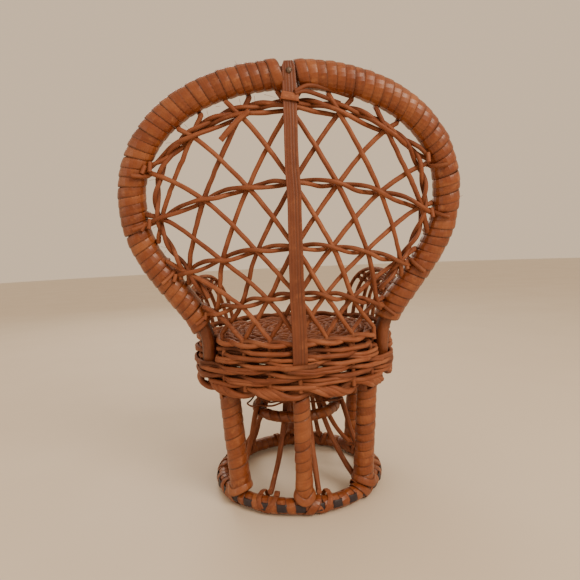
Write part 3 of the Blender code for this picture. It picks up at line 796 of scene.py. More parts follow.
@dataclass(frozen=True)
class StrandFinish:
    """The look of one kind of cane or reed.

    Attributes:
        name: The material's name.
        dark: Colour in the grain and on the darkest strands.
        body: Main colour.
        light: Colour on pale and rubbed places.
        roughness: Lowest and highest roughness.
        coat: Share of varnish.
        shine: Strength of the plain reflection.
        fibre_width: Width of a fibre.
        fibre_length: Length of a fibre.
        relief: Height of the grain.
        edge_shade: How dark a strip's edges get.
    """

    name: str
    dark: Colour
    body: Colour
    light: Colour
    roughness: tuple[float, float]
    coat: float = 0.0
    shine: float = 0.42
    fibre_width: float = 0.35 * MM
    fibre_length: float = 14.0 * MM
    relief: float = 0.06 * MM
    edge_shade: float = 0.6
    # Colour of the painted shade on strip edges, in slat grooves and deep in the weave.
    shade_colour: Colour = (0.035, 0.011, 0.006)

    def material(self, groups: dict[str, bpy.types.NodeTree]) -> bpy.types.Material:
        """Builds the material.

        Args:
            groups: The shared node groups by name.

        Returns:
            The material.
        """
        made, graph, shader = start_material(self.name)
        run = graph.node("ShaderNodeAttribute", attribute_name="run").outputs["Vector"]
        skin = graph.node("ShaderNodeAttribute", attribute_name="skin").outputs["Vector"]
        parts = graph.node("ShaderNodeSeparateXYZ")
        graph.feed(parts.inputs[0], skin)
        tone = parts.outputs[0]
        grain = graph.node("ShaderNodeGroup", node_tree=groups["fibre_grain"])
        wear_shade_node = graph.node("ShaderNodeGroup", node_tree=groups["wear_and_shade"])
        paint = graph.node("ShaderNodeGroup", node_tree=groups["strand_colour"])
        for node, values in (
            (grain, {"Run": run, "Tone": tone}),
            (grain, {"Fibre Width": self.fibre_width, "Fibre Length": self.fibre_length}),
            (wear_shade_node, {"Skin": skin, "Edge Shade": self.edge_shade}),
            (paint, {"Tone": tone, "Dark": (*self.dark, 1), "Body": (*self.body, 1)}),
            (paint, {"Light": (*self.light, 1), "Shade Colour": (*self.shade_colour, 1)}),
            (paint, {name: grain.outputs[name] for name in ("Fibre", "Streak")}),
            (paint, {name: wear_shade_node.outputs[name] for name in ("Blotch", "Painted Shade", "Rubbed")}),
        ):
            for name, value in values.items():
                graph.feed(node.inputs[name], value)
        graph.feed(shader.inputs["Base Color"], paint.outputs["Colour"])
        low, high = self.roughness
        shade_roughness = graph.maths("MULTIPLY_ADD", wear_shade_node.outputs["Painted Shade"], 0.5, 0.55)
        wear = graph.maths("MULTIPLY_ADD", grain.outputs["Fibre"], -0.35, shade_roughness)
        graph.feed(shader.inputs["Roughness"], graph.spread(wear, 0.0, 1.0, low, high))
        graph.relief(shader, grain.outputs["Relief"], 0.7, self.relief)
        gloss = {"Coat Weight": self.coat, "Coat Roughness": 0.28, "Specular IOR Level": self.shine}
        for name, value in gloss.items():
            graph.feed(shader.inputs[name], value)
        return made


@dataclass(frozen=True)
class PoleFinish:
    """Bare rattan pole on CAD pieces, which carry no strand coordinates: grain in the round."""

    name: str = "rattan_pole"
    dark: Colour = (0.09, 0.02, 0.006)
    light: Colour = (0.28, 0.085, 0.026)

    def material(self) -> bpy.types.Material:
        """Builds the material.

        Returns:
            The material.
        """
        made, graph, shader = start_material(self.name)
        place = graph.node("ShaderNodeTexCoord").outputs["Object"]
        mapping = graph.node("ShaderNodeMapping")
        graph.feed(mapping.inputs["Vector"], place)
        mapping.inputs["Scale"].default_value = (1500.0, 1500.0, 60.0)
        fibre = graph.cloud(mapping.outputs["Vector"], 1.0, 4.0, 0.6)
        patch = graph.cloud(place, 110.0, 3.0, 0.6)
        patches = graph.spread(patch, 0.3, 0.7, 0.4, 1.0)
        share = graph.maths("MULTIPLY", graph.spread(fibre, 0.3, 0.7), patches)
        graph.feed(shader.inputs["Base Color"], graph.mix(share, (*self.dark, 1), (*self.light, 1)))
        graph.feed(shader.inputs["Roughness"], graph.spread(fibre, 0.2, 0.8, 0.5, 0.75))
        graph.relief(shader, fibre, 0.5, 0.05 * MM)
        return made


@dataclass(frozen=True)
class NailFinish:
    """A small steel nail, tarnished brown in patches."""

    name: str = "tarnished_steel"
    bright: Colour = (0.2, 0.16, 0.13)
    tarnish: Colour = (0.05, 0.022, 0.012)

    def material(self) -> bpy.types.Material:
        """Builds the material.

        Returns:
            The material.
        """
        made, graph, shader = start_material(self.name)
        place = graph.node("ShaderNodeTexCoord").outputs["Object"]
        stain = graph.cloud(place, 1400.0, 4.0, 0.7)
        share = graph.spread(stain, 0.38, 0.62)
        graph.feed(shader.inputs["Base Color"], graph.mix(share, (*self.tarnish, 1), (*self.bright, 1)))
        graph.feed(shader.inputs["Roughness"], graph.spread(stain, 0.3, 0.7, 0.65, 0.35))
        graph.feed(shader.inputs["Metallic"], graph.spread(stain, 0.35, 0.6, 0.35, 0.95))
        graph.relief(shader, stain, 0.4, 0.04 * MM)
        return made


PEEL = StrandFinish(
    name="cane_peel",
    dark=(0.135, 0.026, 0.004),
    body=(0.235, 0.055, 0.013),
    light=(0.38, 0.14, 0.046),
    roughness=(0.34, 0.58),
    coat=0.2,
    fibre_width=0.32 * MM,
    fibre_length=12.0 * MM,
    relief=0.05 * MM,
    edge_shade=0.65,
)
REED = StrandFinish(
    name="round_reed",
    dark=(0.12, 0.031, 0.013),
    body=(0.28, 0.086, 0.036),
    light=(0.42, 0.168, 0.082),
    roughness=(0.5, 0.8),
    coat=0.02,
    shine=0.25,
    fibre_width=0.28 * MM,
    fibre_length=9.0 * MM,
    relief=0.09 * MM,
    edge_shade=0.0,
)
SLAT = StrandFinish(
    name="split_pole",
    dark=(0.09, 0.019, 0.005),
    body=(0.18, 0.043, 0.013),
    light=(0.27, 0.088, 0.032),
    roughness=(0.4, 0.68),
    coat=0.08,
    fibre_width=0.4 * MM,
    fibre_length=30.0 * MM,
    relief=0.12 * MM,
    edge_shade=0.85,
)
TAPE = StrandFinish(
    name="dark_inlay",
    dark=(0.008, 0.005, 0.008),
    body=(0.022, 0.012, 0.02),
    light=(0.05, 0.03, 0.045),
    roughness=(0.4, 0.65),
    coat=0.1,
    edge_shade=0.3,
)


class Finishes:
    """Every material of the chair, built once."""

    def __init__(self) -> None:
        """Builds the shared groups and the materials."""
        groups = {
            "fibre_grain": fibre_grain_group(),
            "wear_and_shade": shade_and_wear_group(),
            "strand_colour": strand_colour_group(),
        }
        self.peel = PEEL.material(groups)
        self.reed = REED.material(groups)
        self.slat = SLAT.material(groups)
        self.tape = TAPE.material(groups)
        self.pole = PoleFinish().material()
        self.nail = NailFinish().material()

    @staticmethod
    def put_on(material: bpy.types.Material, *nodes: str) -> None:
        """Gives shown CAD nodes a material.

        Args:
            material: The material.
            nodes: Their names.
        """
        for name in nodes:
            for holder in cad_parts[name].material_slots:
                holder.material = material


# ---------------------------------------------------------------- places on the chair


def polar(radius: float, azimuth: float, z: float) -> Vector:
    """A point at an azimuth round the foot ring's axis."""
    return AXIS + Vector((radius * sin(radians(azimuth)), radius * cos(radians(azimuth)), z))


def outwards(azimuth: float) -> Vector:
    """The direction away from the axis at an azimuth."""
    return Vector((sin(radians(azimuth)), cos(radians(azimuth)), 0.0))


def middle_of(node: str) -> Vector:
    """The middle of a CAD node's box."""
    low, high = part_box(node)
    return (low + high) / 2


AXIS = Vector((*middle_of("base_ring_core").xy, 0.0))


def ring_path(radius: float, z: float, count: int = 144) -> Path:
    """A level circle about the axis, from the front round by +X."""
    return Path([polar(radius, 180.0 - FULL_TURN * i / count, z) for i in range(count + 1)])


def ring_facing(ring: Path) -> Callable[[float], Vector]:
    """Gives the direction away from the chair's axis at a distance along a ring."""
    return lambda distance: outwards(180.0 - FULL_TURN * distance / ring.length)


def measure_ring(node: str) -> tuple[float, float, float]:
    """Measures a level ring of the CAD model.

    Args:
        node: Its node.

    Returns:
        Radius and height of its middle, and half its thickness.
    """
    low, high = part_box(node)
    tube = (high.z - low.z) / 2
    return (high.x - low.x) / 2 - tube, (low.z + high.z) / 2, tube


@dataclass(frozen=True)
class HoopLine:
    """The bent pole's centre line: a superellipse arch that sweeps in to two upright posts."""

    rod: float = 4.25 * MM
    wrapped: float = 7.6 * MM
    widest_z: float = 181.0 * MM
    roundness: float = 2.15
    post_half_spacing: float = 52.5 * MM
    sweep: float = 80.0 * MM
    sweep_power: float = 1.2
    tilt: float = 12.0
    foot_y: float = 33.0 * MM
    foot_z: float = 102.0 * MM
    post_end_z: float = 82.2 * MM

    @cached_property
    def half_width(self) -> float:
        """Half width at the widest place, from the CAD pole."""
        low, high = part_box("hoop_core")
        return (high.x - low.x) / 2 - self.rod

    @cached_property
    def top_z(self) -> float:
        """Height of the centre line at the top, from the CAD pole."""
        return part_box("hoop_core")[1].z - self.rod * cos(radians(self.tilt))

    def depth(self, z: float) -> float:
        """Y of the tilted plane that the hoop lies in."""
        return AXIS.y + self.foot_y + (z - self.foot_z) * tan(radians(self.tilt))

    def rearward(self) -> Vector:
        """The plane's normal, pointing to the rear."""
        return Vector((0.0, cos(radians(self.tilt)), -sin(radians(self.tilt))))

    def reach(self, z: float, inset: float = 0.0) -> float:
        """Half width of the centre line at a height, less an inset all round.

        Args:
            z: The height.
            inset: How far inside the centre line.

        Returns:
            The half width.
        """
        if z >= self.widest_z:
            rise = min(1.0, (z - self.widest_z) / (self.top_z - self.widest_z - inset))
            return (self.half_width - inset) * (1 - rise**self.roundness) ** (1 / self.roundness)
        if inset:
            slope = (self.reach(z + MM) - self.reach(z - MM)) / (2 * MM)
            return self.reach(z) - inset * hypot(1.0, slope)
        fall = ((self.widest_z - z) / self.sweep) ** self.sweep_power
        return self.half_width - (self.half_width - self.post_half_spacing) * smooth_step(fall)

    def points(self, start_z: float, inset: float = 0.0, steps: int = 110) -> list[tuple[float, float]]:
        """X and Z along the line from the left foot (+X) over the top to the right foot.

        Args:
            start_z: Height of both feet.
            inset: How far inside the centre line.
            steps: Points over the top.

        Returns:
            The points, X measured from the chair's middle.
        """
        side = []
        for i in range(steps // 3):
            z = start_z + (self.widest_z - start_z) * i / (steps // 3)
            side.append((self.reach(z, inset), z))
        arch = []
        for i in range(steps + 1):
            angle = pi * i / steps
            x = (self.half_width - inset) * signed_power(cos(angle), 2 / self.roundness)
            rise = self.top_z - self.widest_z - inset
            z = self.widest_z + rise * signed_power(sin(angle), 2 / self.roundness)
            arch.append((x, z))
        return side + arch + [(-x, z) for x, z in reversed(side)]

    def path(self, start_z: float) -> Path:
        """The centre line from a height on the left over the top to the same height on the right."""
        return Path([Vector((AXIS.x + x, self.depth(z), z)) for x, z in self.points(start_z)])


HOOP = HoopLine()


@dataclass(frozen=True)
class LatticeSheet:
    """The surface that the lattice lies in: it bellies back from the hoop to just before the stave."""

    stave_foot_y: float = 64.8 * MM
    stave_foot_z: float = 89.3 * MM
    stave_gap: float = 1.3 * MM
    belly_gap: float = 6.8 * MM

    def stave_y(self, z: float) -> float:
        """Y of the stave's middle, which leans back from its foot to the hoop's top.

        Args:
            z: The height.

        Returns:
            Its Y.
        """
        top_y = HOOP.depth(HOOP.top_z) + HOOP.rod + self.stave_gap
        foot_y = AXIS.y + self.stave_foot_y
        return foot_y + (z - self.stave_foot_z) * (top_y - foot_y) / (HOOP.top_z - self.stave_foot_z)

    def y(self, x: float, z: float) -> float:
        """Y of the sheet.

        Args:
            x: Distance from the chair's middle.
            z: The height.

        Returns:
            Its Y.
        """
        ceiling = HOOP.widest_z + 0.9 * (HOOP.top_z - HOOP.widest_z)
        share = min(1.0, abs(x) / HOOP.reach(min(z, ceiling)))
        return HOOP.depth(z) + (self.stave_y(z) - self.belly_gap - HOOP.depth(z)) * (1 - share**2)

    def normal(self, x: float, z: float) -> Vector:
        """The sheet's rearward normal.

        Args:
            x: Distance from the chair's middle.
            z: The height.

        Returns:
            The normal.
        """
        slope_x = (self.y(x + MM, z) - self.y(x - MM, z)) / (2 * MM)
        slope_z = (self.y(x, z + MM) - self.y(x, z - MM)) / (2 * MM)
        return Vector((-slope_x, 1.0, -slope_z)).normalized()

    def point(self, x: float, z: float, over: float = 0.0) -> Vector:
        """A point on the sheet, moved rearwards off it by some distance."""
        return Vector((AXIS.x + x, self.y(x, z), z)) + self.normal(x, z) * over


SHEET = LatticeSheet()


# ---------------------------------------------------------------- foot ring, legs and waist


@dataclass
class FootRing:
    """The round foot: a bent core, cane wound round it and dark tape woven through the winding."""

    finishes: Finishes
    turns: int = 62
    underside: float = 4.05 * MM
    crown: float = 0.62 * MM
    tape_angle: float = 10.0
    tape_half_height: float = 2.2 * MM
    tape_thick: float = 0.4 * MM
    tape_steps: int = 8
    weave: float = 0.45 * MM
    radius: float = field(init=False)
    z: float = field(init=False)

    def __post_init__(self) -> None:
        """Takes the ring's radius and height from the CAD core."""
        self.radius, self.z, _ = measure_ring("base_ring_core")

    def lift(self, turn: int, angle: float) -> float:
        """Raises every second turn over the tape and holds the others under it.

        Args:
            turn: Number of the turn.
            angle: Angle round the core in degrees, 0 level and outwards, 90 up.

        Returns:
            How far the turn stands out there.
        """
        near = exp(-(((angle - self.tape_angle) / 38.0) ** 2))
        flat = 0.25 * MM * smooth_step((-sin(radians(angle)) - 0.6) / 0.4)
        return (self.weave if turn % 2 else -self.weave) * near - flat

    def build(self) -> None:
        """Builds and dresses the ring."""
        core = ring_path(self.radius, self.z)
        pitch = core.length / self.turns
        winding = Winding(
            core,
            ring_facing(core),
            self.underside,
            pitch,
            0.0,
            core.length,
            thick=self.crown,
            overlap=1.13,
            unevenness=0.05,
            lift=lambda turn, angle: self.lift(turn, -angle),
            steps=16,
            seed=2.0,
        )
        cane = Piece("base_ring_cane")
        cane.lay(winding.strand())
        cane.finish(self.finishes.peel, "cane", "base_ring_binding")

        tape = Piece("base_ring_tape")
        line, facing = [], []
        steps = self.turns * self.tape_steps
        for i in range(steps + 4):
            azimuth = 180.0 - FULL_TURN * i / steps
            over = signed_power(cos(pi * (i / self.tape_steps - 0.5)), 0.4)
            out = self.underside + self.crown * 0.3 + self.weave * 1.25 * over
            level = outwards(azimuth) * cos(radians(self.tape_angle))
            direction = level + UP * sin(radians(self.tape_angle))
            line.append(AXIS + outwards(azimuth) * self.radius + UP * self.z + direction * out)
            facing.append(direction)
        tape.lay(Strand(line, self.tape_half_height, self.tape_thick, facing, 0.5, 0.0, Section.PEEL))
        tape.finish(self.finishes.tape, "inlay", "base_ring_inlay")
        self.finishes.put_on(self.finishes.pole, "base_ring_core")


@dataclass(frozen=True)
class Leg:
    """One leg's place."""

    name: str
    azimuth: float
    radius: float


CORNER = 6.0 * MM
CENTRE = 4.8 * MM
LEGS = (
    Leg("rear", 0.0, CENTRE),
    Leg("rear_left", 49.0, CORNER),
    Leg("front_left", 122.0, CORNER),
    Leg("front", 180.0, CENTRE),
    Leg("front_right", -122.0, CORNER),
    Leg("rear_right", -49.0, CORNER),
)


@dataclass
class Legs:
    """Six poles with cane wound round them, each tied down to the foot ring."""

    finishes: Finishes
    ring: FootRing
    foot_radius: float = 50.5 * MM
    head_radius: float = 55.5 * MM
    foot_z: float = 11.2 * MM
    head_z: float = 73.0 * MM
    pitch: float = 6.0 * MM
    crown: float = 0.55 * MM
    flare: float = 0.5 * MM
    collar_half_width: float = 2.3 * MM
    collar_half_thick: float = 0.5 * MM
    tie_half_width: float = 2.6 * MM
    tie_half_thick: float = 0.4 * MM

    def build(self) -> None:
        """Builds and dresses every leg."""
        for number, leg in enumerate(LEGS):
            foot = polar(self.foot_radius, leg.azimuth, self.foot_z)
            head = polar(self.head_radius, leg.azimuth, self.head_z)
            core = Path([foot, head])
            winding = Winding(
                core,
                lambda distance, azimuth=leg.azimuth: outwards(azimuth),
                leg.radius - self.crown - 0.15 * MM,
                self.pitch * (1.0 + 0.1 * sin(number * 2.1)),
                0.0,
                core.length,
                thick=self.crown + 0.25 * MM,
                overlap=1.2,
                unevenness=0.17,
                slant=0.5,
                lift=lambda turn, angle: self.flare * exp(-turn / 1.5),
                shingle=0.07,
                steps=22,
                seed=11.0 + number,
            )
            cane = Piece(f"leg_cane_{leg.name}")
            cane.lay(winding.strand(), self.collar(leg, number), *self.ties(leg, number))
            cane.finish(self.finishes.peel, "cane", f"leg_binding_{leg.name}")
            self.finishes.put_on(self.finishes.pole, f"leg_core_{leg.name}")

    def collar(self, leg: Leg, number: int) -> Strand:
        """A strip round the leg's foot that dips on the outer side.

        Args:
            leg: The leg.
            number: Its number, which sets the strip's tone.

        Returns:
            The strip.
        """
        line, facing = [], []
        steps = 30
        for i in range(steps + 2):
            angle = 2 * pi * i / steps + pi
            direction = outwards(leg.azimuth) * cos(angle) + outwards(leg.azimuth + 90.0) * sin(angle)
            out = leg.radius + (0.5 + 0.9 * (0.5 + 0.5 * cos(angle))) * MM
            away = min(angle % (2 * pi), 2 * pi - angle % (2 * pi))
            dip = (3.6 * exp(-((away / 0.9) ** 2)) + 0.2) * MM
            base = polar(self.foot_radius, leg.azimuth, self.foot_z + 2.4 * MM - dip)
            line.append(base + direction * out)
            facing.append((direction + UP * 0.35).normalized())
        tone = 0.62 + 0.3 * sin(number)
        return Strand(
            line, self.collar_half_width, self.collar_half_thick, facing, tone, 0.0, Section.PEEL
        )

    def ties(self, leg: Leg, number: int) -> list[Strand]:
        """Strips that cross over the foot ring beside the leg.

        Args:
            leg: The leg.
            number: Its number, which sets the side and tone.

        Returns:
            The strips.
        """
        result = []
        spread = degrees(leg.radius / self.foot_radius)
        for side in (1,) if number % 2 else (-1,):
            line, facing = [], []
            steps = 26
            for i in range(steps + 2):
                angle = 2 * pi * i / steps - pi / 2
                direction_z, direction_out = sin(angle), cos(angle)
                out = self.ring.underside + self.ring.crown + 0.5 * MM
                out -= 0.75 * MM * smooth_step((-direction_z - 0.45) / 0.5)
                lean = side * (spread * (0.55 + 0.75 * direction_z) + 1.0)
                azimuth = leg.azimuth + lean
                outward = outwards(azimuth)
                direction = outward * direction_out + UP * direction_z
                line.append(AXIS + outward * self.ring.radius + UP * self.ring.z + direction * out)
                facing.append(direction)
            tone = 0.55 + 0.35 * sin(number * 1.7 + side)
            result.append(
                Strand(line, self.tie_half_width, self.tie_half_thick, facing, tone, 0.0, Section.PEEL)
            )
        return result


@dataclass
class Waist:
    """The small wrapped ring, the spokes it gathers, their bound feet and thin loops above it."""

    finishes: Finishes
    ring: FootRing
    radius: float = field(init=False)
    z: float = field(init=False)
    underside: float = 2.75 * MM
    turns: int = 30
    spokes: int = 10
    spoke: float = 1.7 * MM
    first_azimuth: float = -11.0
    foot_radius: float = 42.8 * MM
    foot_z: float = 8.0 * MM
    head_z: float = 99.0 * MM
    loop: float = 0.6 * MM
    loops: tuple[tuple[float, float, float, float], ...] = (  # radius, height, tilt and its azimuth
        (31.5 * MM, 60.5 * MM, 14.0, 70.0),
        (29.0 * MM, 66.0 * MM, -11.0, 40.0),
        (33.0 * MM, 64.0 * MM, 19.0, -80.0),
    )

    def __post_init__(self) -> None:
        """Takes the ring's radius and height from the CAD core."""
        self.radius, self.z, _ = measure_ring("waist_ring_core")

    def build(self) -> None:
        """Builds and dresses the waist."""
        core = ring_path(self.radius, self.z)
        pitch = core.length / self.turns
        cane = Piece("waist_ring_cane")
        winding = Winding(
            core,
            ring_facing(core),
            self.underside,
            pitch,
            0.0,
            core.length,
            thick=0.7 * MM,
            overlap=1.1,
            unevenness=0.12,
            slant=0.6,
            seed=31.0,
            steps=14,
        )
        cane.lay(winding.strand())
        cane.finish(self.finishes.peel, "cane", "waist_ring_binding")
        self.finishes.put_on(self.finishes.pole, "waist_ring_core")
        for i in range(self.spokes):
            self.build_spoke(i)
        self.build_loops()

    def spoke_line(self, i: int) -> list[Vector]:
        """The line of one spoke, outside the waist ring or inside it by turns.

        Args:
            i: Number of the spoke.

        Returns:
            The line, from its foot up.
        """
        azimuth = self.first_azimuth - FULL_TURN * i / self.spokes
        side = 1 if i % 2 == 0 else -1
        waist = self.radius + side * (self.underside + 0.75 * MM + self.spoke)
        head = (11.5 + 3.0 * side) * MM
        route = [
            polar(self.foot_radius + 5.2 * MM, azimuth, self.foot_z + 3.2 * MM),
            polar(self.foot_radius + 2.2 * MM, azimuth, self.foot_z + 3.6 * MM),
            polar((self.foot_radius + waist) / 2 + 0.5 * MM, azimuth, (self.foot_z + self.z) / 2 - 2 * MM),
            polar(waist, azimuth, self.z),
            polar((waist + head) / 2 - 0.5 * MM, azimuth, (self.z + self.head_z) / 2),
            polar(head, azimuth, self.head_z),
        ]
        line = smooth_line(route, 32)
        return [
            p + outwards(azimuth + 90.0) * 0.35 * MM * drift(j * 0.21, 40.0 + i) for j, p in enumerate(line)
        ]

    def build_spoke(self, i: int) -> None:
        """Builds one spoke with the strip that binds its foot to the ring.

        Args:
            i: Number of the spoke.
        """
        azimuth = self.first_azimuth - FULL_TURN * i / self.spokes
        line = self.spoke_line(i)
        wide = [self.spoke * (1 + 0.08 * drift(j * 0.3, 60.0 + i)) for j in range(len(line))]
        tone = 0.45 + 0.35 * drift(i * 1.7, 3.0)
        reed = Piece(f"spoke_reed_{i + 1:02d}")
        reed.lay(Strand(line, wide, tone=tone))
        for turn in range(2):
            line, facing = [], []
            steps = 20
            for j in range(steps + 2):
                angle = 2 * pi * j / steps + pi / 2
                lean = (turn - 0.5) * 5.0 + 3.2 * sin(angle) * (1 if turn else -1)
                outward = outwards(azimuth + lean)
                out = self.ring.underside + self.ring.crown + 0.35 * MM
                out -= 0.55 * MM * smooth_step((-sin(angle) - 0.45) / 0.5)
                out += 2.7 * MM * exp(-((angle - radians(128.0)) ** 2) / 0.25)
                direction = outward * cos(angle) + UP * sin(angle)
                line.append(AXIS + outward * self.ring.radius + UP * self.ring.z + direction * out)
                facing.append(direction)
            reed.lay(Strand(line, 1.6 * MM, 0.35 * MM, facing, tone + 0.15, 0.0, Section.PEEL))
        reed.finish(self.finishes.reed, "reed", f"spoke_{i + 1:02d}")

    def build_loops(self) -> None:
        """Thin loops of reed that ride on the spokes between the waist and the seat."""
        piece = Piece("waist_loops")
        steps = 84
        for number, (radius, z, tilt, toward) in enumerate(self.loops):
            line = []
            for i in range(steps + 4):
                azimuth = FULL_TURN * i / steps + toward
                rise = radius * tan(radians(tilt)) * cos(radians(azimuth - toward))
                wander = 1.4 * MM * drift(i * 0.16, 70.0 + number)
                line.append(polar(radius + wander, azimuth, z + rise + 1.5 * wander))
            # The loops get a little painted shade all along.
            piece.lay(Strand(line, self.loop, tone=0.3 + 0.15 * number, hidden=0.25))
        piece.finish(self.finishes.reed, "reed")


# ---------------------------------------------------------------- seat


@dataclass
class Seat:
    """A woven round seat: radial stakes bent down over the rim, weavers, a twined rim and a rolled border."""

    finishes: Finishes
    stakes: int = 24
    post_stake: int = 4
    radius: float = 61.2 * MM
    stake: float = 1.25 * MM
    stake_z: float = 100.2 * MM
    stake_foot_z: float = 76.0 * MM
    hub: float = 7.0 * MM
    courses: int = 9
    course_low: float = 79.6 * MM
    course_high: float = 98.4 * MM
    swing: float = 2.2 * MM
    belly: float = 1.2 * MM
    inside_post_z: float = 91.0 * MM
    weaver: float = 1.42 * MM
    rim_z: float = 103.3 * MM
    rim: float = 1.5 * MM
    stave_courses: tuple[float, float] = (87.5 * MM, 92.0 * MM)
    over_stave: float = 67.3 * MM
    lining_courses: int = 8
    lining_radius: float = 58.6 * MM
    border_z: float = 75.6 * MM
    border_strands: int = 4
    border_turns: int = 12
    border_roll: tuple[float, float] = (2.6 * MM, 2.5 * MM)
    border_strand: float = 1.75 * MM
    round_pitch: float = 2.95 * MM
    frame_turns: int = 58

    def build(self) -> None:
        """Builds and dresses the seat."""
        self.build_stakes()
        self.build_top()
        self.build_apron()
        self.build_rim()
        self.build_border()

    def post(self, z: float) -> tuple[float, float]:
        """Radius and azimuth of the left post at a height."""
        depth = HOOP.depth(z) - AXIS.y
        return hypot(HOOP.reach(z), depth), degrees(atan2(HOOP.reach(z), depth))

    def near_post(self, azimuth: float, z: float) -> float:
        """How near an azimuth is to a post, from 0 to 1.

        Args:
            azimuth: The azimuth in degrees.
            z: The height.

        Returns:
            1 at a post, 0 far from both.
        """
        _, post = self.post(z)
        away = abs((azimuth + 180.0) % 360.0 - 180.0)
        return exp(-(((away - post) / 8.0) ** 2))

    def build_stakes(self) -> None:
        """Stakes run out from the hub, bend over the rim and go down behind and before the weavers."""
        piece = Piece("seat_stake_reeds")
        for k in range(self.stakes):
            azimuth = FULL_TURN * k / self.stakes + 0.8 * drift(k * 2.3, 80.0)
            out, edge = outwards(azimuth), self.radius
            if k in (self.post_stake, self.stakes - self.post_stake):
                line = [AXIS + UP * self.stake_z + out * r for r in (self.hub, 30 * MM, 54 * MM)]
                # These short stakes get painted shade all along.
                piece.lay(Strand(smooth_line(line, 12), self.stake, tone=0.5, hidden=0.3))
                continue
            route = [
                AXIS + UP * self.stake_z + out * self.hub,
                AXIS + UP * (self.stake_z + 0.1 * MM) + out * 32 * MM,
                AXIS + UP * (self.stake_z + 0.2 * MM) + out * (edge - 5 * MM),
                AXIS + UP * (self.stake_z - 2.2 * MM) + out * (edge - 0.8 * MM),
                AXIS + UP * (self.stake_z - 8 * MM) + out * edge,
                AXIS + UP * self.stake_foot_z + out * (edge + 0.4 * MM),
            ]
            wide = self.stake * (1 + 0.1 * drift(k * 1.7, 81.0))
            piece.lay(Strand(smooth_line(route, 40), wide, tone=0.62 + 0.3 * drift(k * 3.1, 82.0)))
        piece.finish(self.finishes.reed, "reed", "seat_stakes")

    def build_top(self) -> None:
        """Rounds of reed that go over and under the radial stakes."""
        piece = Piece("seat_top_weave")
        thick, number = 1.5 * MM, 0
        radius = self.hub + 1.0 * MM
        while radius < self.radius - 4.0 * MM:
            ribs = self.stakes if radius > 22 * MM else self.stakes / 2
            steps = int(ribs * 5)
            start = 97.0 * number
            line, hidden = [], []
            for i in range(steps + 5):
                azimuth = start + FULL_TURN * i / steps
                wave = cos(radians(azimuth * ribs / 2)) * (1 if number % 2 else -1)
                z = self.stake_z + 0.55 * MM + 1.05 * MM * wave
                wander = 0.45 * MM * drift(i * 0.13, 90.0 + number)
                line.append(polar(radius + wander, azimuth, z))
                # Painted shade where the round dips under a stake.
                hidden.append(0.35 * (0.5 - 0.5 * wave))
            tone = 0.55 + 0.4 * drift(number * 2.9, 84.0)
            wide = thick * (1 + 0.1 * drift(number * 1.3, 85.0))
            piece.lay(Strand(line, wide, tone=tone, hidden=hidden))
            radius += self.round_pitch
            number += 1
        piece.finish(self.finishes.reed, "reed", "seat_weave")

    @staticmethod
    def near_stave(azimuth: float) -> float:
        """How near an azimuth is to the stave, from 0 to 1."""
        away = abs((azimuth + 180.0) % 360.0 - 180.0)
        return smooth_step((11.0 - away) / 6.0)

    def wave(self, azimuth: float, phase: float) -> float:
        """How far out a weaver is that passes before two stakes and behind the next, from -1 to 1."""
        turn = cos(radians(azimuth * self.stakes / 3 + phase))
        return max(-1.0, min(1.0, 1.35 * turn + 0.45))

    def weaver_line(
        self, z: float, phase: float, seed: float, steps: int = 216
    ) -> tuple[list[Vector], list[float]]:
        """The line of one apron weaver, and how deep it lies at each point.

        Args:
            z: Height of its course.
            phase: Turns its wave round the seat, in degrees.
            seed: Makes each weaver different.
            steps: Points in one round.

        Returns:
            The line, and how hidden each point is.
        """
        start = 150.0 + 53.0 * (seed % 5)
        line, hidden = [], []
        for i in range(steps + 10):
            azimuth = start + FULL_TURN * i / steps
            shaped = self.wave(azimuth, phase)
            near = self.near_post(azimuth, z)
            post_radius, _ = self.post(z)
            reach = HOOP.rod + self.weaver - 0.2 * MM
            share = (z - self.course_low) / (self.course_high - self.course_low)
            out = self.radius + self.swing * shaped + 0.35 * MM * drift(i * 0.11, seed)
            out += self.belly * sin(pi * min(1.0, max(0.0, share)))
            if z > HOOP.post_end_z - self.weaver:
                side = post_radius + (reach if z < self.inside_post_z else -reach)
                out += (side - out) * near
            if self.stave_courses[0] < z < self.stave_courses[1]:
                out += (self.over_stave - out) * self.near_stave(azimuth)
            level = z + 0.75 * MM * drift(i * 0.07, seed + 3.0) - 0.5 * MM * shaped
            line.append(polar(out, azimuth, level))
            # Painted shade where the weaver passes behind the stakes.
            hidden.append(max(0.0, 0.55 * (0.4 - shaped)))
        return line, hidden

    def build_apron(self) -> None:
        """Courses of weavers from the lower border up to the rim."""
        lower, upper = Piece("seat_apron_lower"), Piece("seat_apron_upper")
        for course in range(self.courses):
            share = course / (self.courses - 1)
            z = self.course_low + (self.course_high - self.course_low) * share
            phase = 120.0 * course + 25.0 * drift(course * 1.7, 103.0)
            piece = lower if course < self.courses / 2 else upper
            doubled = course in (1, 4, 6)
            for twin in range(2 if doubled else 1):
                offset = (twin - 0.5) * 1.75 * MM if doubled else 0.0
                line, hidden = self.weaver_line(z + offset, phase, 100.0 + 7.0 * course + 3.0 * twin)
                wide = self.weaver * (0.82 if doubled else 1.0)
                wide *= 1 + 0.06 * drift(course * 1.9, 102.0)
                tone = 0.55 + 0.42 * drift(course * 2.1 + twin * 5.3, 101.0)
                piece.lay(Strand(line, wide, tone=tone, hidden=hidden))
        tall = self.course_high - self.course_low
        for course in range(self.lining_courses):
            z = self.course_low + tall * (course + 0.5) / self.lining_courses
            piece = lower if course < self.lining_courses / 2 else upper
            piece.lay(self.lining(z, 130.0 + 5.0 * course))
        lower.finish(self.finishes.reed, "reed", "seat_weaver_lower")
        upper.finish(self.finishes.reed, "reed", "seat_weaver_upper")

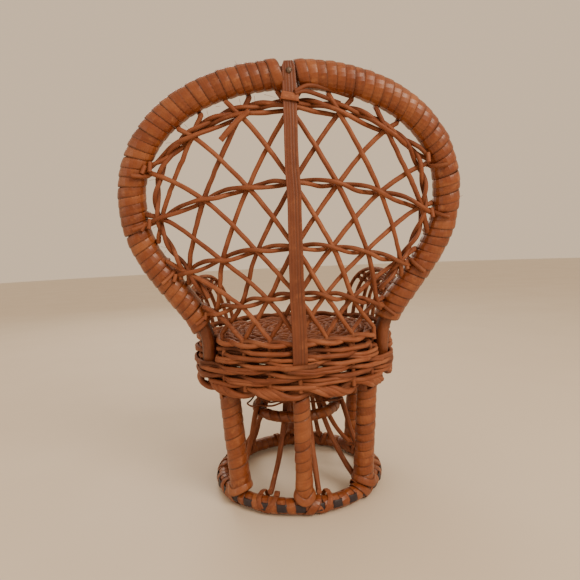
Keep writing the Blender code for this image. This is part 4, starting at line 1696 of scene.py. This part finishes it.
    def lining(self, z: float, seed: float) -> Strand:
        """A weaver of the apron's inner side, which closes the gaps between the outer courses.

        Args:
            z: Height of its course.
            seed: Makes each weaver different.

        Returns:
            The weaver.
        """
        line, hidden = [], []
        steps = 150
        for i in range(steps + 6):
            azimuth = 77.0 * seed + FULL_TURN * i / steps
            near = self.near_post(azimuth, z)
            post_radius, _ = self.post(z)
            out = self.lining_radius + 0.5 * MM * cos(radians(azimuth * self.stakes / 2 + 90.0 * seed))
            out += (post_radius - HOOP.rod - self.weaver - out) * near
            line.append(polar(out, azimuth, z + 0.6 * MM * drift(i * 0.1, seed)))
            # Painted shade all along the inner lining.
            hidden.append(0.5)
        return Strand(line, self.weaver * 0.9, tone=0.4 + 0.3 * drift(seed, 104.0), hidden=hidden)

    def build_rim(self) -> None:
        """Two strands twined round the lattice feet and the stakes, inside both posts."""
        piece = Piece("seat_rim_twining")
        post_radius, _ = self.post(self.rim_z)
        steps = 240
        for half in (0, 1):
            line, hidden = [], []
            for i in range(steps + 8):
                azimuth = 168.0 + 7.0 * half + FULL_TURN * i / steps
                wave = cos(radians(azimuth * self.stakes / 2 + 180.0 * half))
                out = self.radius + 1.75 * MM * wave
                inside = post_radius - HOOP.rod - self.rim + 0.8 * MM * wave
                out += (inside - out) * self.near_post(azimuth, self.rim_z)
                slope = sin(radians(azimuth * self.stakes / 2 + 180.0 * half))
                z = self.rim_z - 0.75 * MM * wave + 0.7 * MM * slope
                z += 0.4 * MM * drift(i * 0.09, 110.0 + half)
                line.append(polar(out, azimuth, z))
                # Painted shade where the twine turns inwards.
                hidden.append(max(0.0, -0.45 * wave))
            piece.lay(Strand(line, self.rim, tone=0.6 + 0.2 * half, hidden=hidden))
        piece.finish(self.finishes.reed, "reed", "seat_rim_twine")

    def build_border(self) -> None:
        """A rope of thick strands rolled round the apron's foot, over a wound frame ring."""
        piece = Piece("seat_border_rope")
        steps = 260
        for number in range(self.border_strands):
            line, hidden = [], []
            for i in range(steps + 6):
                share = i / steps
                roll = 2 * pi * (self.border_turns * share + number / self.border_strands)
                azimuth = 190.0 + 11.0 * number + FULL_TURN * share
                out = self.radius - 0.4 * MM + self.border_roll[0] * cos(roll)
                z = self.border_z + self.border_roll[1] * sin(roll)
                z += 0.35 * MM * drift(i * 0.1, 120.0 + number)
                line.append(polar(out, azimuth, z))
                # Painted shade on the inner side of each roll.
                hidden.append(max(0.0, -0.4 * cos(roll)))
            tone = 0.6 + 0.35 * drift(number * 3.7, 121.0)
            piece.lay(Strand(line, self.border_strand, tone=tone, hidden=hidden))
        piece.finish(self.finishes.reed, "reed", "seat_lower_border")

        radius, z, tube = measure_ring("seat_frame_ring")
        core = ring_path(radius, z)
        frame_ring = Piece("seat_frame_rod")
        winding = Winding(
            core,
            ring_facing(core),
            tube - 0.75 * MM,
            core.length / self.frame_turns,
            0.0,
            core.length,
            steps=12,
            seed=44.0,
        )
        frame_ring.lay(winding.strand())
        frame_ring.finish(self.finishes.peel, "cane", "seat_frame_ring")


# ---------------------------------------------------------------- hoop and stave


@dataclass
class Hoop:
    """The bent pole with its posts, the cane wound round it, and the nailed centre stave."""

    finishes: Finishes
    turns_pitch: float = 5.0 * MM
    wrap_start_z: float = 113.0 * MM
    crown: float = 0.8 * MM
    stave_half_gap: float = 4.3 * MM
    stave_foot_half_width: float = 4.1 * MM
    stave_head_half_width: float = 3.5 * MM
    stave_half_thick: float = 0.85 * MM
    stave_head_z: float = 250.0 * MM

    def build(self) -> None:
        """Builds and dresses the hoop."""
        self.build_rod()
        self.build_wrap()
        self.build_stave()
        self.finishes.put_on(self.finishes.nail, "stave_nail")

    def build_rod(self) -> None:
        """The bare pole, which shows at the posts."""
        path = HOOP.path(HOOP.post_end_z)
        rod = Piece("hoop_rod")
        line = path.even(150)
        wide = [HOOP.rod * (1 + 0.035 * drift(i * 0.35, 130.0)) for i in range(len(line))]
        rod.lay(Strand(line, wide, tone=[0.5 + 0.2 * drift(i * 0.2, 131.0) for i in range(len(line))]))
        rod.finish(self.finishes.slat, "pole", "hoop_core")

    def build_wrap(self) -> None:
        """Two windings, from each post up to the stave's head, and the left one's closing turn."""
        wrap = Piece("hoop_wrap")
        path = HOOP.path(self.wrap_start_z)
        middle = path.length / 2
        rear = HOOP.rearward()
        for number, (start, end) in enumerate(
            ((0.0, middle - self.stave_half_gap), (middle + self.stave_half_gap, path.length))
        ):
            turns = round((end - start) / self.turns_pitch)
            winding = Winding(
                path,
                lambda distance: rear,
                HOOP.wrapped - self.crown - 0.1 * MM,
                (end - start) / turns,
                start,
                end,
                thick=self.crown,
                overlap=1.24,
                unevenness=0.13,
                slant=0.45,
                shingle=0.1 if number == 0 else -0.1,
                steps=22,
                seed=140.0 + 6.0 * number,
            )
            wrap.lay(winding.strand())
        wrap.lay(self.closing_turn(path, middle))
        wrap.finish(self.finishes.peel, "cane", "hoop_binding")

    def closing_turn(self, path: Path, middle: float) -> Strand:
        """The left winding's last turn, which slants over to the stave's head and is tucked in below.

        Args:
            path: The hoop's line.
            middle: Where along it the stave's head is.

        Returns:
            The turn.
        """
        winding = Winding(path, lambda distance: HOOP.rearward(), HOOP.wrapped - 0.1 * MM, 1.0, 0.0, 1.0)
        line, facing = [], []
        for i in range(26):
            share = i / 25
            distance = middle - (9.5 - 8.5 * share**1.4) * MM
            point, outward = winding.turn_place(distance, -110.0 + 235.0 * share, HOOP.wrapped - 0.15 * MM)
            line.append(point)
            facing.append(outward)
        return Strand(line, 2.9 * MM, 0.6 * MM, facing, 0.7, 0.0, Section.PEEL)

    def build_stave(self) -> None:
        """The flat stave, grooved along its grain, and the strip that is lashed below its head."""
        low_z, high_z = SHEET.stave_foot_z, self.stave_head_z
        steps = 60
        line, wide, facing = [], [], []
        for i in range(steps + 1):
            z = low_z + (high_z - low_z) * i / steps
            share = i / steps
            x = 0.35 * MM * drift(i * 0.12, 150.0)
            line.append(Vector((AXIS.x + x, SHEET.stave_y(z), z)))
            width = self.stave_foot_half_width
            width += (self.stave_head_half_width - self.stave_foot_half_width) * share
            head = 1 - 0.35 * smooth_step((z - (high_z - 2.5 * MM)) / (2.5 * MM))
            wide.append(width * head * (1 + 0.03 * drift(i * 0.3, 151.0)))
            facing.append(Vector((0.0, 1.0, 0.0)))
        stave = Piece("stave_slat")
        stave.lay(Strand(line, wide, self.stave_half_thick, facing, 0.5, 0.0, Section.SLAT))
        stave.finish(self.finishes.slat, "pole", "centre_stave")

        lashing = Piece("stave_strap")
        low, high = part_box("stave_lashing")
        z, steps, turns = (low.z + high.z) / 2 - 1.0 * MM, 26, 1.35
        line, facing = [], []
        for i in range(int(steps * turns) + 1):
            angle = 2 * pi * i / steps - pi / 2
            x = (self.stave_head_half_width + 0.7 * MM) * max(-1.0, min(1.0, 1.2 * cos(angle)))
            y = (self.stave_half_thick + 0.65 * MM) * max(-1.0, min(1.0, 1.5 * sin(angle)))
            level = z + 0.9 * MM * cos(angle) - 0.5 * MM * i / steps
            line.append(Vector((AXIS.x + x, SHEET.stave_y(z) + y, level)))
            facing.append(Vector((cos(angle), 1.6 * sin(angle), 0.15)).normalized())
        lashing.lay(Strand(line, 2.1 * MM, 0.35 * MM, facing, 0.75, 0.0, Section.PEEL))
        for number, (reach, rise) in enumerate(((34.0, 2.5), (27.0, -0.5))):
            route = [
                Vector((AXIS.x - 2.5 * MM, SHEET.stave_y(z) + 1.2 * MM, z + (2.0 - number) * MM)),
                Vector((AXIS.x - 0.35 * reach * MM, SHEET.stave_y(z) - 1.0 * MM, z + (3.0 + rise) * MM)),
                Vector((AXIS.x - reach * MM, SHEET.y(-reach * MM, z) - 1.5 * MM, z - (1.0 - rise) * MM)),
            ]
            # These strands get a little painted shade all along.
            lashing.lay(Strand(smooth_line(route, 16), 1.15 * MM, tone=0.4 - 0.15 * number, hidden=0.15))
        lashing.finish(self.finishes.reed, "reed", "stave_lashing")


# ---------------------------------------------------------------- lattice


@dataclass(frozen=True)
class Row:
    """One row that the lattice is set out by: its height, column spacing and drop 50 mm from the centre."""

    z: float
    spacing: float
    drop: float

    def height(self, x: float) -> float:
        """Height of the row at a distance from the centre."""
        return self.z - self.drop * (x / (50.0 * MM)) ** 2


ROWS = (
    Row(268.0 * MM, 27.5 * MM, 14.0 * MM),
    Row(229.0 * MM, 26.0 * MM, 12.0 * MM),
    Row(190.3 * MM, 24.0 * MM, 7.3 * MM),
    Row(156.1 * MM, 20.0 * MM, 7.5 * MM),
    Row(129.4 * MM, 15.6 * MM, 9.0 * MM),
    Row(105.6 * MM, 15.4 * MM, 0.0),
)


@dataclass
class Lattice:
    """Two families of slanting strands, four twined rows that tie them, and the inner rim."""

    finishes: Finishes
    strand: float = 1.35 * MM
    layer: float = 1.25 * MM
    twine: float = 1.25 * MM
    twine_over: float = 3.3 * MM
    twine_beside: float = 1.5 * MM
    first: int = -6
    last: int = 2
    cad_first: int = -5
    cad_last: int = 1
    rim_inset: float = 13.6 * MM
    rim: float = 1.25 * MM
    rim_start_z: float = 130.0 * MM
    rim_pitch: float = 27.0 * MM
    fibres: int = 26
    fibre_widths: tuple[float, ...] = (0.09 * MM, 0.08 * MM, 0.07 * MM, 0.06 * MM, 0.04 * MM)

    def build(self) -> None:
        """Builds and dresses the lattice."""
        self.build_family("lattice_rear_reeds", 1, "lattice_rear")
        self.build_family("lattice_front_reeds", -1, "lattice_front")
        for number, row in enumerate(ROWS[1:5], 1):
            self.build_row(number, row)
        self.build_inner_rim()
        self.build_cut_ends()

    def diagonal(self, start: int, lean: int) -> Strand | None:
        """One strand that moves one column per row.

        Args:
            start: The column that it starts from at the seat.
            lean: 1 for a strand that goes up towards +X on the rear side, -1 for its mirror in front.

        Returns:
            The strand, or None where it would be too short.
        """
        route = []
        for number, row in enumerate(ROWS):
            x = (start + len(ROWS) - 1 - number) * row.spacing
            x += 0.7 * MM * drift(start * 2.7 + number * 1.3, 160.0 + lean)
            route.append(Vector((x, 0.0, row.height(x))))
        fine = [p for p in smooth_line(route, 160) if self.inside(p.x, p.z, HOOP.wrapped + 0.6 * MM)]
        if len(fine) < 12:
            return None
        points = []
        for i in range(64):
            p = fine[round(i * (len(fine) - 1) / 63)]
            bend = 0.25 * MM * drift(i * 0.33, 165.0 + start * lean)
            points.append(SHEET.point((p.x + bend) * lean, p.z, lean * self.layer))
        ends = [(0, fine[0])]
        if fine[-1].z > 112 * MM:
            ends.append((len(points), fine[-1]))
        else:
            foot = points[-1]
            points += [foot - UP * 3.5 * MM, foot - UP * 7 * MM + Vector((0.0, 0.4 * MM, 0.0))]
        for place, p in reversed(ends):
            hook = self.hook(p, lean)
            points[place:place] = hook if place == 0 else hook[::-1]
        seed = start * 1.9 + lean * 0.7
        wide = [self.strand * (1 + 0.09 * drift(i * 0.12, 170.0 + seed)) for i in range(len(points))]
        own_tone = 0.5 + 0.3 * drift(seed, 172.0)
        tone = [own_tone + 0.15 * drift(i * 0.08, 174.0 + seed) for i in range(len(points))]
        return Strand(points, wide, tone=tone)

    @staticmethod
    def inside(x: float, z: float, margin: float) -> bool:
        """Whether a place is inside the hoop by a margin, and above the seat's rim."""
        return z < HOOP.top_z - margin and abs(x) < HOOP.reach(z, margin)

    @staticmethod
    def hook(p: Vector, lean: int) -> list[Vector]:
        """Points that carry a strand's end from the sheet's edge round the hoop's front face.

        Args:
            p: The strand's last point: X before leaning, and height.
            lean: 1 or -1, the way that the strand leans.

        Returns:
            The points, outermost first.
        """
        x = p.x * lean
        centre = Vector((AXIS.x + x, HOOP.depth(p.z), p.z))
        middle = Vector((AXIS.x, HOOP.depth(170 * MM), 170 * MM))
        outward = (centre - middle).normalized()
        front = -HOOP.rearward()
        return [
            centre + outward * 9.0 * MM + front * 8.6 * MM,
            centre + outward * 5.0 * MM + front * 8.0 * MM,
            centre + outward * 1.8 * MM + front * 4.6 * MM,
        ]

    def build_family(self, name: str, lean: int, node: str) -> None:
        """Builds all strands that lean one way.

        Args:
            name: The piece's name.
            lean: 1 for the rear family, -1 for the front one.
            node: Start of the names of the CAD nodes that it replaces.
        """
        piece = Piece(name)
        for start in range(self.first, self.last + 1):
            strand = self.diagonal(start, lean)
            if strand is not None:
                piece.lay(strand)
        count = self.cad_last - self.cad_first + 1
        piece.finish(self.finishes.reed, "reed", *(f"{node}_{i + 1}" for i in range(count)))

    def build_row(self, number: int, row: Row) -> None:
        """Two strands twined across the lattice, tied round the hoop at both ends.

        Args:
            number: Number of the row, 1 at the top.
            row: Its height, spacing and drop.
        """
        piece = Piece(f"twined_row_reeds_{number}")
        limit = 0.0
        while self.inside(limit, row.height(limit), HOOP.wrapped - 0.5 * MM):
            limit += 0.25 * MM
        steps = int(2 * limit / (1.3 * MM))
        for half in (1, -1):
            points, hidden = [], []
            for i in range(steps + 1):
                x = -limit + 2 * limit * i / steps
                phase = pi * x / row.spacing
                over = half * signed_power(cos(phase), 0.8)
                fade = smooth_step((limit - abs(x)) / (8 * MM))
                z = row.height(x) + half * self.twine_beside * sin(phase) * (0.35 + 0.65 * fade)
                z += 0.6 * MM * drift(i * 0.12, 180.0 + number * 3 + half)
                points.append(SHEET.point(x, z, over * self.twine_over * (0.3 + 0.7 * fade)))
                # Painted shade where the twine passes forward through the lattice.
                hidden.append(max(0.0, -0.3 * over))
            for side in (1, -1):
                tail = self.tie(side * limit, row.height(limit), half)
                hidden += [0.0] * len(tail)
                points = points + tail if side > 0 else tail[::-1] + points
            tone = 0.55 + 0.3 * drift(number * 2.3 + half, 182.0)
            own = 184.0 + number + half
            wide = [self.twine * (1 + 0.08 * drift(i * 0.2, own)) for i in range(len(points))]
            piece.lay(Strand(points, wide, tone=tone, hidden=hidden))
        for side in (1, -1):
            piece.lay(*self.stubs(side * limit, row.height(limit), number * 2 + side))
        piece.finish(self.finishes.reed, "reed", f"twined_row_{number}")

    @staticmethod
    def tie(x: float, z: float, half: int) -> list[Vector]:
        """Points that carry a row's end round the hoop, one half over its rear and one over its front.

        Args:
            x: The row's end, from the chair's middle.
            z: Its height.
            half: 1 for the strand that goes over the rear, -1 for the other.

        Returns:
            The points, from the row outwards.
        """
        side = 1 if x > 0 else -1
        path = HOOP.path(HOOP.post_end_z)
        centre = min(path.points, key=lambda p: hypot(p.x - AXIS.x - x * 1.09, p.z - z))
        at_hoop = next(i for i, p in enumerate(path.points) if p == centre)
        along = (path.points[min(at_hoop + 1, len(path.points) - 1)] - path.points[at_hoop - 1]).normalized()
        rear = HOOP.rearward()
        outward = along.cross(rear).normalized()
        if outward.x * side < 0:
            outward = -outward
        result = []
        reach = (172.0, 92.0) if half > 0 else (-160.0, -70.0)
        for i in range(9):
            angle = radians(reach[0] + (reach[1] - reach[0]) * i / 8)
            direction = outward * cos(angle) + rear * sin(angle)
            result.append(centre + direction * (HOOP.wrapped + 0.9 * MM) - UP * 0.25 * MM * i)
        return result

    def stubs(self, x: float, z: float, seed: float) -> list[Strand]:
        """Cut ends of strands that poke out below a row's tie.

        Args:
            x: The row's end, from the chair's middle.
            z: Its height.
            seed: Makes each side different.

        Returns:
            The cut ends.
        """
        result = []
        side = 1 if x > 0 else -1
        for i in range(2 if x > 0 else 1):
            inner = x - side * (2.0 - 2.6 * i) * MM
            top = Vector((AXIS.x + inner, HOOP.depth(z) + (5.0 + 1.2 * i) * MM, z + (3.0 - 2.0 * i) * MM))
            lean = Vector((side * (0.1 + 0.3 * i + 0.25 * drift(seed, 3.0)), 0.2, -1.0))
            line = [top + lean * (1.3 - 0.25 * i) * MM * j for j in range(5)]
            result.append(Strand(line, 1.25 * MM, tone=0.6 - 0.1 * i))
        return result

    def build_inner_rim(self) -> None:
        """Two strands twined round the lattice just inside the hoop."""
        piece = Piece("hoop_inner_twining")
        outline = [SHEET.point(x, z) for x, z in HOOP.points(self.rim_start_z, self.rim_inset)]
        path = Path(outline)
        rear = HOOP.rearward()
        steps = 260
        for half in (1, -1):
            points, hidden = [], []
            for i in range(steps + 1):
                distance = path.length * i / steps
                along = path.along(distance)
                beside = along.cross(rear).normalized()
                phase = 2 * pi * distance / self.rim_pitch
                over = half * cos(phase)
                point = path.at(distance) + rear * over * 2.1 * MM + beside * half * 1.0 * MM * sin(phase)
                points.append(point + beside * 0.5 * MM * drift(i * 0.09, 190.0 + half))
                # Painted shade where the twine passes forward through the lattice.
                hidden.append(max(0.0, 0.2 - 0.3 * over))
            piece.lay(Strand(points, self.rim, tone=0.42 + 0.1 * half, hidden=hidden))
        piece.finish(self.finishes.reed, "reed", "hoop_inner_strand")

    def build_cut_ends(self) -> None:
        """A thick strand cut short near the top, and frayed fibres that stand off the cane."""
        piece = Piece("loose_ends")
        route = []
        for share in (0.0, 0.35, 0.7, 1.0):
            x = 21.0 * MM + 15.5 * MM * share
            z = HOOP.top_z - 18.0 * MM - 14.0 * MM * share**1.2
            route.append(SHEET.point(x, z, 3.4 * MM))
        piece.lay(Strand(smooth_line(route, 16), 1.6 * MM, tone=0.6))
        chance = random.Random(12)
        path = HOOP.path(120 * MM)
        for _ in range(self.fibres):
            root = path.at(chance.uniform(0.02, 0.98) * path.length)
            inner = chance.random() < 0.6
            to_centre = (Vector((AXIS.x, HOOP.depth(180 * MM), 180 * MM)) - root).normalized()
            start = root + to_centre * (9.0 * MM if inner else -7.0 * MM) + HOOP.rearward() * 2.0 * MM
            stray = Vector([chance.uniform(-1, 1) for _ in range(3)])
            way = (to_centre * (1 if inner else 0.1) + stray).normalized()
            bend = Vector([chance.uniform(-1, 1) for _ in range(3)])
            length = chance.uniform(3.0, 6.5) * MM if inner else 2.2 * MM
            shares = (0, 0.25, 0.5, 0.75, 1.0)
            line = [start + way * length * t + bend * length * 0.35 * t * t for t in shares]
            piece.lay(Strand(line, self.fibre_widths, tone=0.6))
        piece.finish(self.finishes.reed, "reed")


# ---------------------------------------------------------------- arms


@dataclass
class Arms:
    """Two sheaves of strands that rise from the rim and curl back to the hoop."""

    finishes: Finishes
    strands: int = 9
    strand: float = 1.4 * MM
    rear_azimuth: float = 80.0
    front_azimuth: float = 136.0
    foot_z: float = 101.0 * MM
    hoop_z: tuple[float, float] = (119.0 * MM, 131.0 * MM)
    seat_radius: float = 61.2 * MM
    tie_places: tuple[float, float] = (0.36, 0.44)
    nudge: float = 0.02

    def point(self, share: float, along: float) -> Vector:
        """A point of the left arm.

        Args:
            share: 0 at its rear strand, 1 at its front one.
            along: 0 at the rim, 1 at the hoop.

        Returns:
            The point, for the arm at +X.
        """
        azimuth = self.rear_azimuth + (self.front_azimuth - self.rear_azimuth) * share
        foot = polar(self.seat_radius - 0.6 * MM, azimuth, self.foot_z)
        hoop_z = self.hoop_z[0] + (self.hoop_z[1] - self.hoop_z[0]) * share
        end = Vector((AXIS.x + HOOP.reach(hoop_z), HOOP.depth(hoop_z) - HOOP.wrapped - 1.6 * MM, hoop_z))
        out, up = (4.0 + 5.0 * share) * MM, (19.0 + 26.0 * share) * MM
        rise = polar(self.seat_radius + out, azimuth, self.foot_z + up)
        sweep = end + Vector(
            ((3.0 - 6.0 * share) * MM, -(8.0 + 34.0 * share) * MM, (4.0 + 10.0 * share) * MM)
        )
        t, u = along, 1 - along
        return foot * u**3 + 3 * rise * u * u * t + 3 * sweep * u * t * t + end * t**3

    def build(self) -> None:
        """Builds and dresses both arms."""
        for name, side in (("arm_left", 1), ("arm_right", -1)):
            piece = Piece(f"{name}_sheaf")
            for k in range(self.strands):
                share = k / (self.strands - 1)
                line = []
                for i in range(44):
                    p = self.point(share, i / 43)
                    roll = 1.1 * MM * drift(i * 0.07, 200.0 + k * 3 + side)
                    line.append(self.mirrored(p + Vector((roll, roll * 0.6, roll)), side))
                line += self.curl(line, side, k)
                wide = [self.strand * (1 + 0.08 * drift(i * 0.2, 210.0 + k)) for i in range(len(line))]
                tone = 0.5 + 0.4 * drift(k * 2.9 + side, 212.0)
                piece.lay(Strand(line, wide, tone=tone))
            for along in self.tie_places:
                piece.lay(*self.cross_ties(along, side))
            piece.finish(self.finishes.reed, "reed", name)

    @staticmethod
    def mirrored(p: Vector, side: int) -> Vector:
        """Moves a point of the left arm to the arm on a side."""
        return Vector((AXIS.x + side * (p.x - AXIS.x), p.y, p.z))

    @staticmethod
    def curl(line: list[Vector], side: int, k: int) -> list[Vector]:
        """Points that carry a strand's end round the hoop.

        Args:
            line: The strand so far.
            side: 1 for the left arm, -1 for the right.
            k: Number of the strand.

        Returns:
            The points.
        """
        end = line[-1]
        away = Vector((side, 0.0, 0.0))
        rear = HOOP.rearward()
        reach = 3.4 + 0.8 * (k % 3)
        return [
            end + away * 0.35 * reach * MM + rear * 0.3 * MM,
            end + away * 0.8 * reach * MM + rear * 0.9 * MM - UP * 0.8 * MM,
            end + away * 1.15 * reach * MM + rear * 1.6 * MM - UP * 1.6 * MM,
        ]

    def cross_ties(self, along: float, side: int) -> list[Strand]:
        """Two thin strands twined across the sheaf.

        Args:
            along: Where on the arm: 0 at the rim, 1 at the hoop.
            side: 1 for the left arm, -1 for the right.

        Returns:
            The strands.
        """
        result = []
        steps = 56
        for half in (1, -1):
            line = []
            for i in range(steps + 1):
                share = i / steps
                p = self.point(share, along)
                after, before = min(1.0, share + self.nudge), max(0.0, share - self.nudge)
                ahead = self.point(after, along) - self.point(before, along)
                up = self.point(share, along + self.nudge) - self.point(share, along - self.nudge)
                normal = ahead.cross(up).normalized()
                wave = half * cos(pi * share * (self.strands - 1))
                line.append(self.mirrored(p + normal * wave * 2.1 * MM, side))
            # The ties get a little painted shade all along.
            result.append(Strand(line, 0.85 * MM, tone=0.5, hidden=0.1))
        return result


# ---------------------------------------------------------------- studio


@dataclass
class Studio:
    """A pale floor, soft light and the camera."""

    floor: Colour = (0.74, 0.66, 0.55)
    sky: Colour = (1.0, 0.76, 0.52)
    sky_strength: float = 0.85
    camera_place: tuple[float, float, float] = (17.2 * MM, 320.2 * MM, 154.6 * MM)
    lens: float = 29.8
    yaw: float = 2.94
    pitch: float = 4.75
    roll: float = 2.54

    def build(self) -> None:
        """Builds the stage, the lamps and the camera."""
        bm = bmesh.new()
        bmesh.ops.create_circle(bm, cap_ends=True, segments=96, radius=4.0)
        mesh = bpy.data.meshes.new("floor")
        bm.to_mesh(mesh)
        bm.free()
        floor = bpy.data.objects.new("floor", mesh)
        bpy.context.scene.collection.objects.link(floor)
        mesh.materials.append(self.floor_material())
        self.build_light()
        self.build_camera()

    def floor_material(self) -> bpy.types.Material:
        """A matt, faintly mottled pale surface.

        Returns:
            The material.
        """
        made, graph, shader = start_material("pale_floor")
        place = graph.node("ShaderNodeTexCoord").outputs["Object"]
        mottle = graph.cloud(place, 9.0, 4.0, 0.5)
        darker = tuple(c * 0.94 for c in self.floor)
        graph.feed(shader.inputs["Base Color"], graph.mix(mottle, (*self.floor, 1), (*darker, 1)))
        graph.feed(shader.inputs["Roughness"], graph.spread(mottle, 0.3, 0.7, 0.5, 0.62))
        return made

    def lamp(
        self, name: str, place: Vector, size: float, power: float, colour: Colour, target: Vector
    ) -> None:
        """Adds a round area lamp that points at a target.

        Args:
            name: Its name.
            place: Where it stands.
            size: Its width.
            power: Its power in watts.
            colour: Its colour.
            target: Where it points.
        """
        light = bpy.data.lights.new(name, "AREA")
        light.shape = "DISK"
        light.size = size
        light.energy = power
        light.color = colour
        item = bpy.data.objects.new(name, light)
        item.location = place
        item.rotation_euler = (target - place).to_track_quat("-Z", "Y").to_euler()
        bpy.context.scene.collection.objects.link(item)

    def build_light(self) -> None:
        """A warm key from high on the right of the view, a weak fill and a soft back light."""
        world = bpy.data.worlds.new("studio")
        bpy.context.scene.world = world
        world.use_nodes = True
        background = world.node_tree.nodes["Background"]
        background.inputs["Color"].default_value = (*self.sky, 1.0)
        background.inputs["Strength"].default_value = self.sky_strength
        target = Vector((0.0, 0.0, 0.14))
        self.lamp("key", Vector((-0.42, 0.62, 0.62)), 0.45, 6.0, (1.0, 0.84, 0.66), target)
        self.lamp("fill", Vector((0.75, 0.45, 0.3)), 0.7, 1.1, (1.0, 0.88, 0.74), target)
        self.lamp("back", Vector((0.25, -0.8, 0.7)), 0.6, 2.6, (1.0, 0.9, 0.8), target)

    def build_camera(self) -> None:
        """The camera behind the chair, a little above the seat's middle."""
        data = bpy.data.cameras.new("camera")
        data.sensor_width = 36.0
        data.lens = self.lens
        data.clip_start = 0.01
        item = bpy.data.objects.new("camera", data)
        bpy.context.scene.collection.objects.link(item)
        turn, dip, roll = radians(self.yaw), radians(self.pitch), radians(self.roll)
        level_right = Vector((-cos(turn), sin(turn), 0.0))
        ahead = Vector((-sin(turn) * cos(dip), -cos(turn) * cos(dip), -sin(dip)))
        level_up = Vector((-sin(turn) * sin(dip), -cos(turn) * sin(dip), cos(dip)))
        right = level_right * cos(roll) - level_up * sin(roll)
        up = level_right * sin(roll) + level_up * cos(roll)
        place = AXIS + Vector(self.camera_place)
        turned = Matrix((right, up, -ahead)).transposed().to_4x4()
        item.matrix_world = Matrix.Translation(place) @ turned
        bpy.context.scene.camera = item


def main() -> None:
    """Builds the chair from the ground up, then the studio round it."""
    logging.basicConfig(level=logging.INFO, format="%(name)s %(message)s")
    finishes = Finishes()
    foot_ring = FootRing(finishes)
    for part in (
        foot_ring,
        Legs(finishes, foot_ring),
        Waist(finishes, foot_ring),
        Seat(finishes),
        Hoop(finishes),
        Lattice(finishes),
        Arms(finishes),
        Studio(),
    ):
        part.build()
        log.info("%s done", type(part).__name__)


if __name__ == "__main__":
    main()
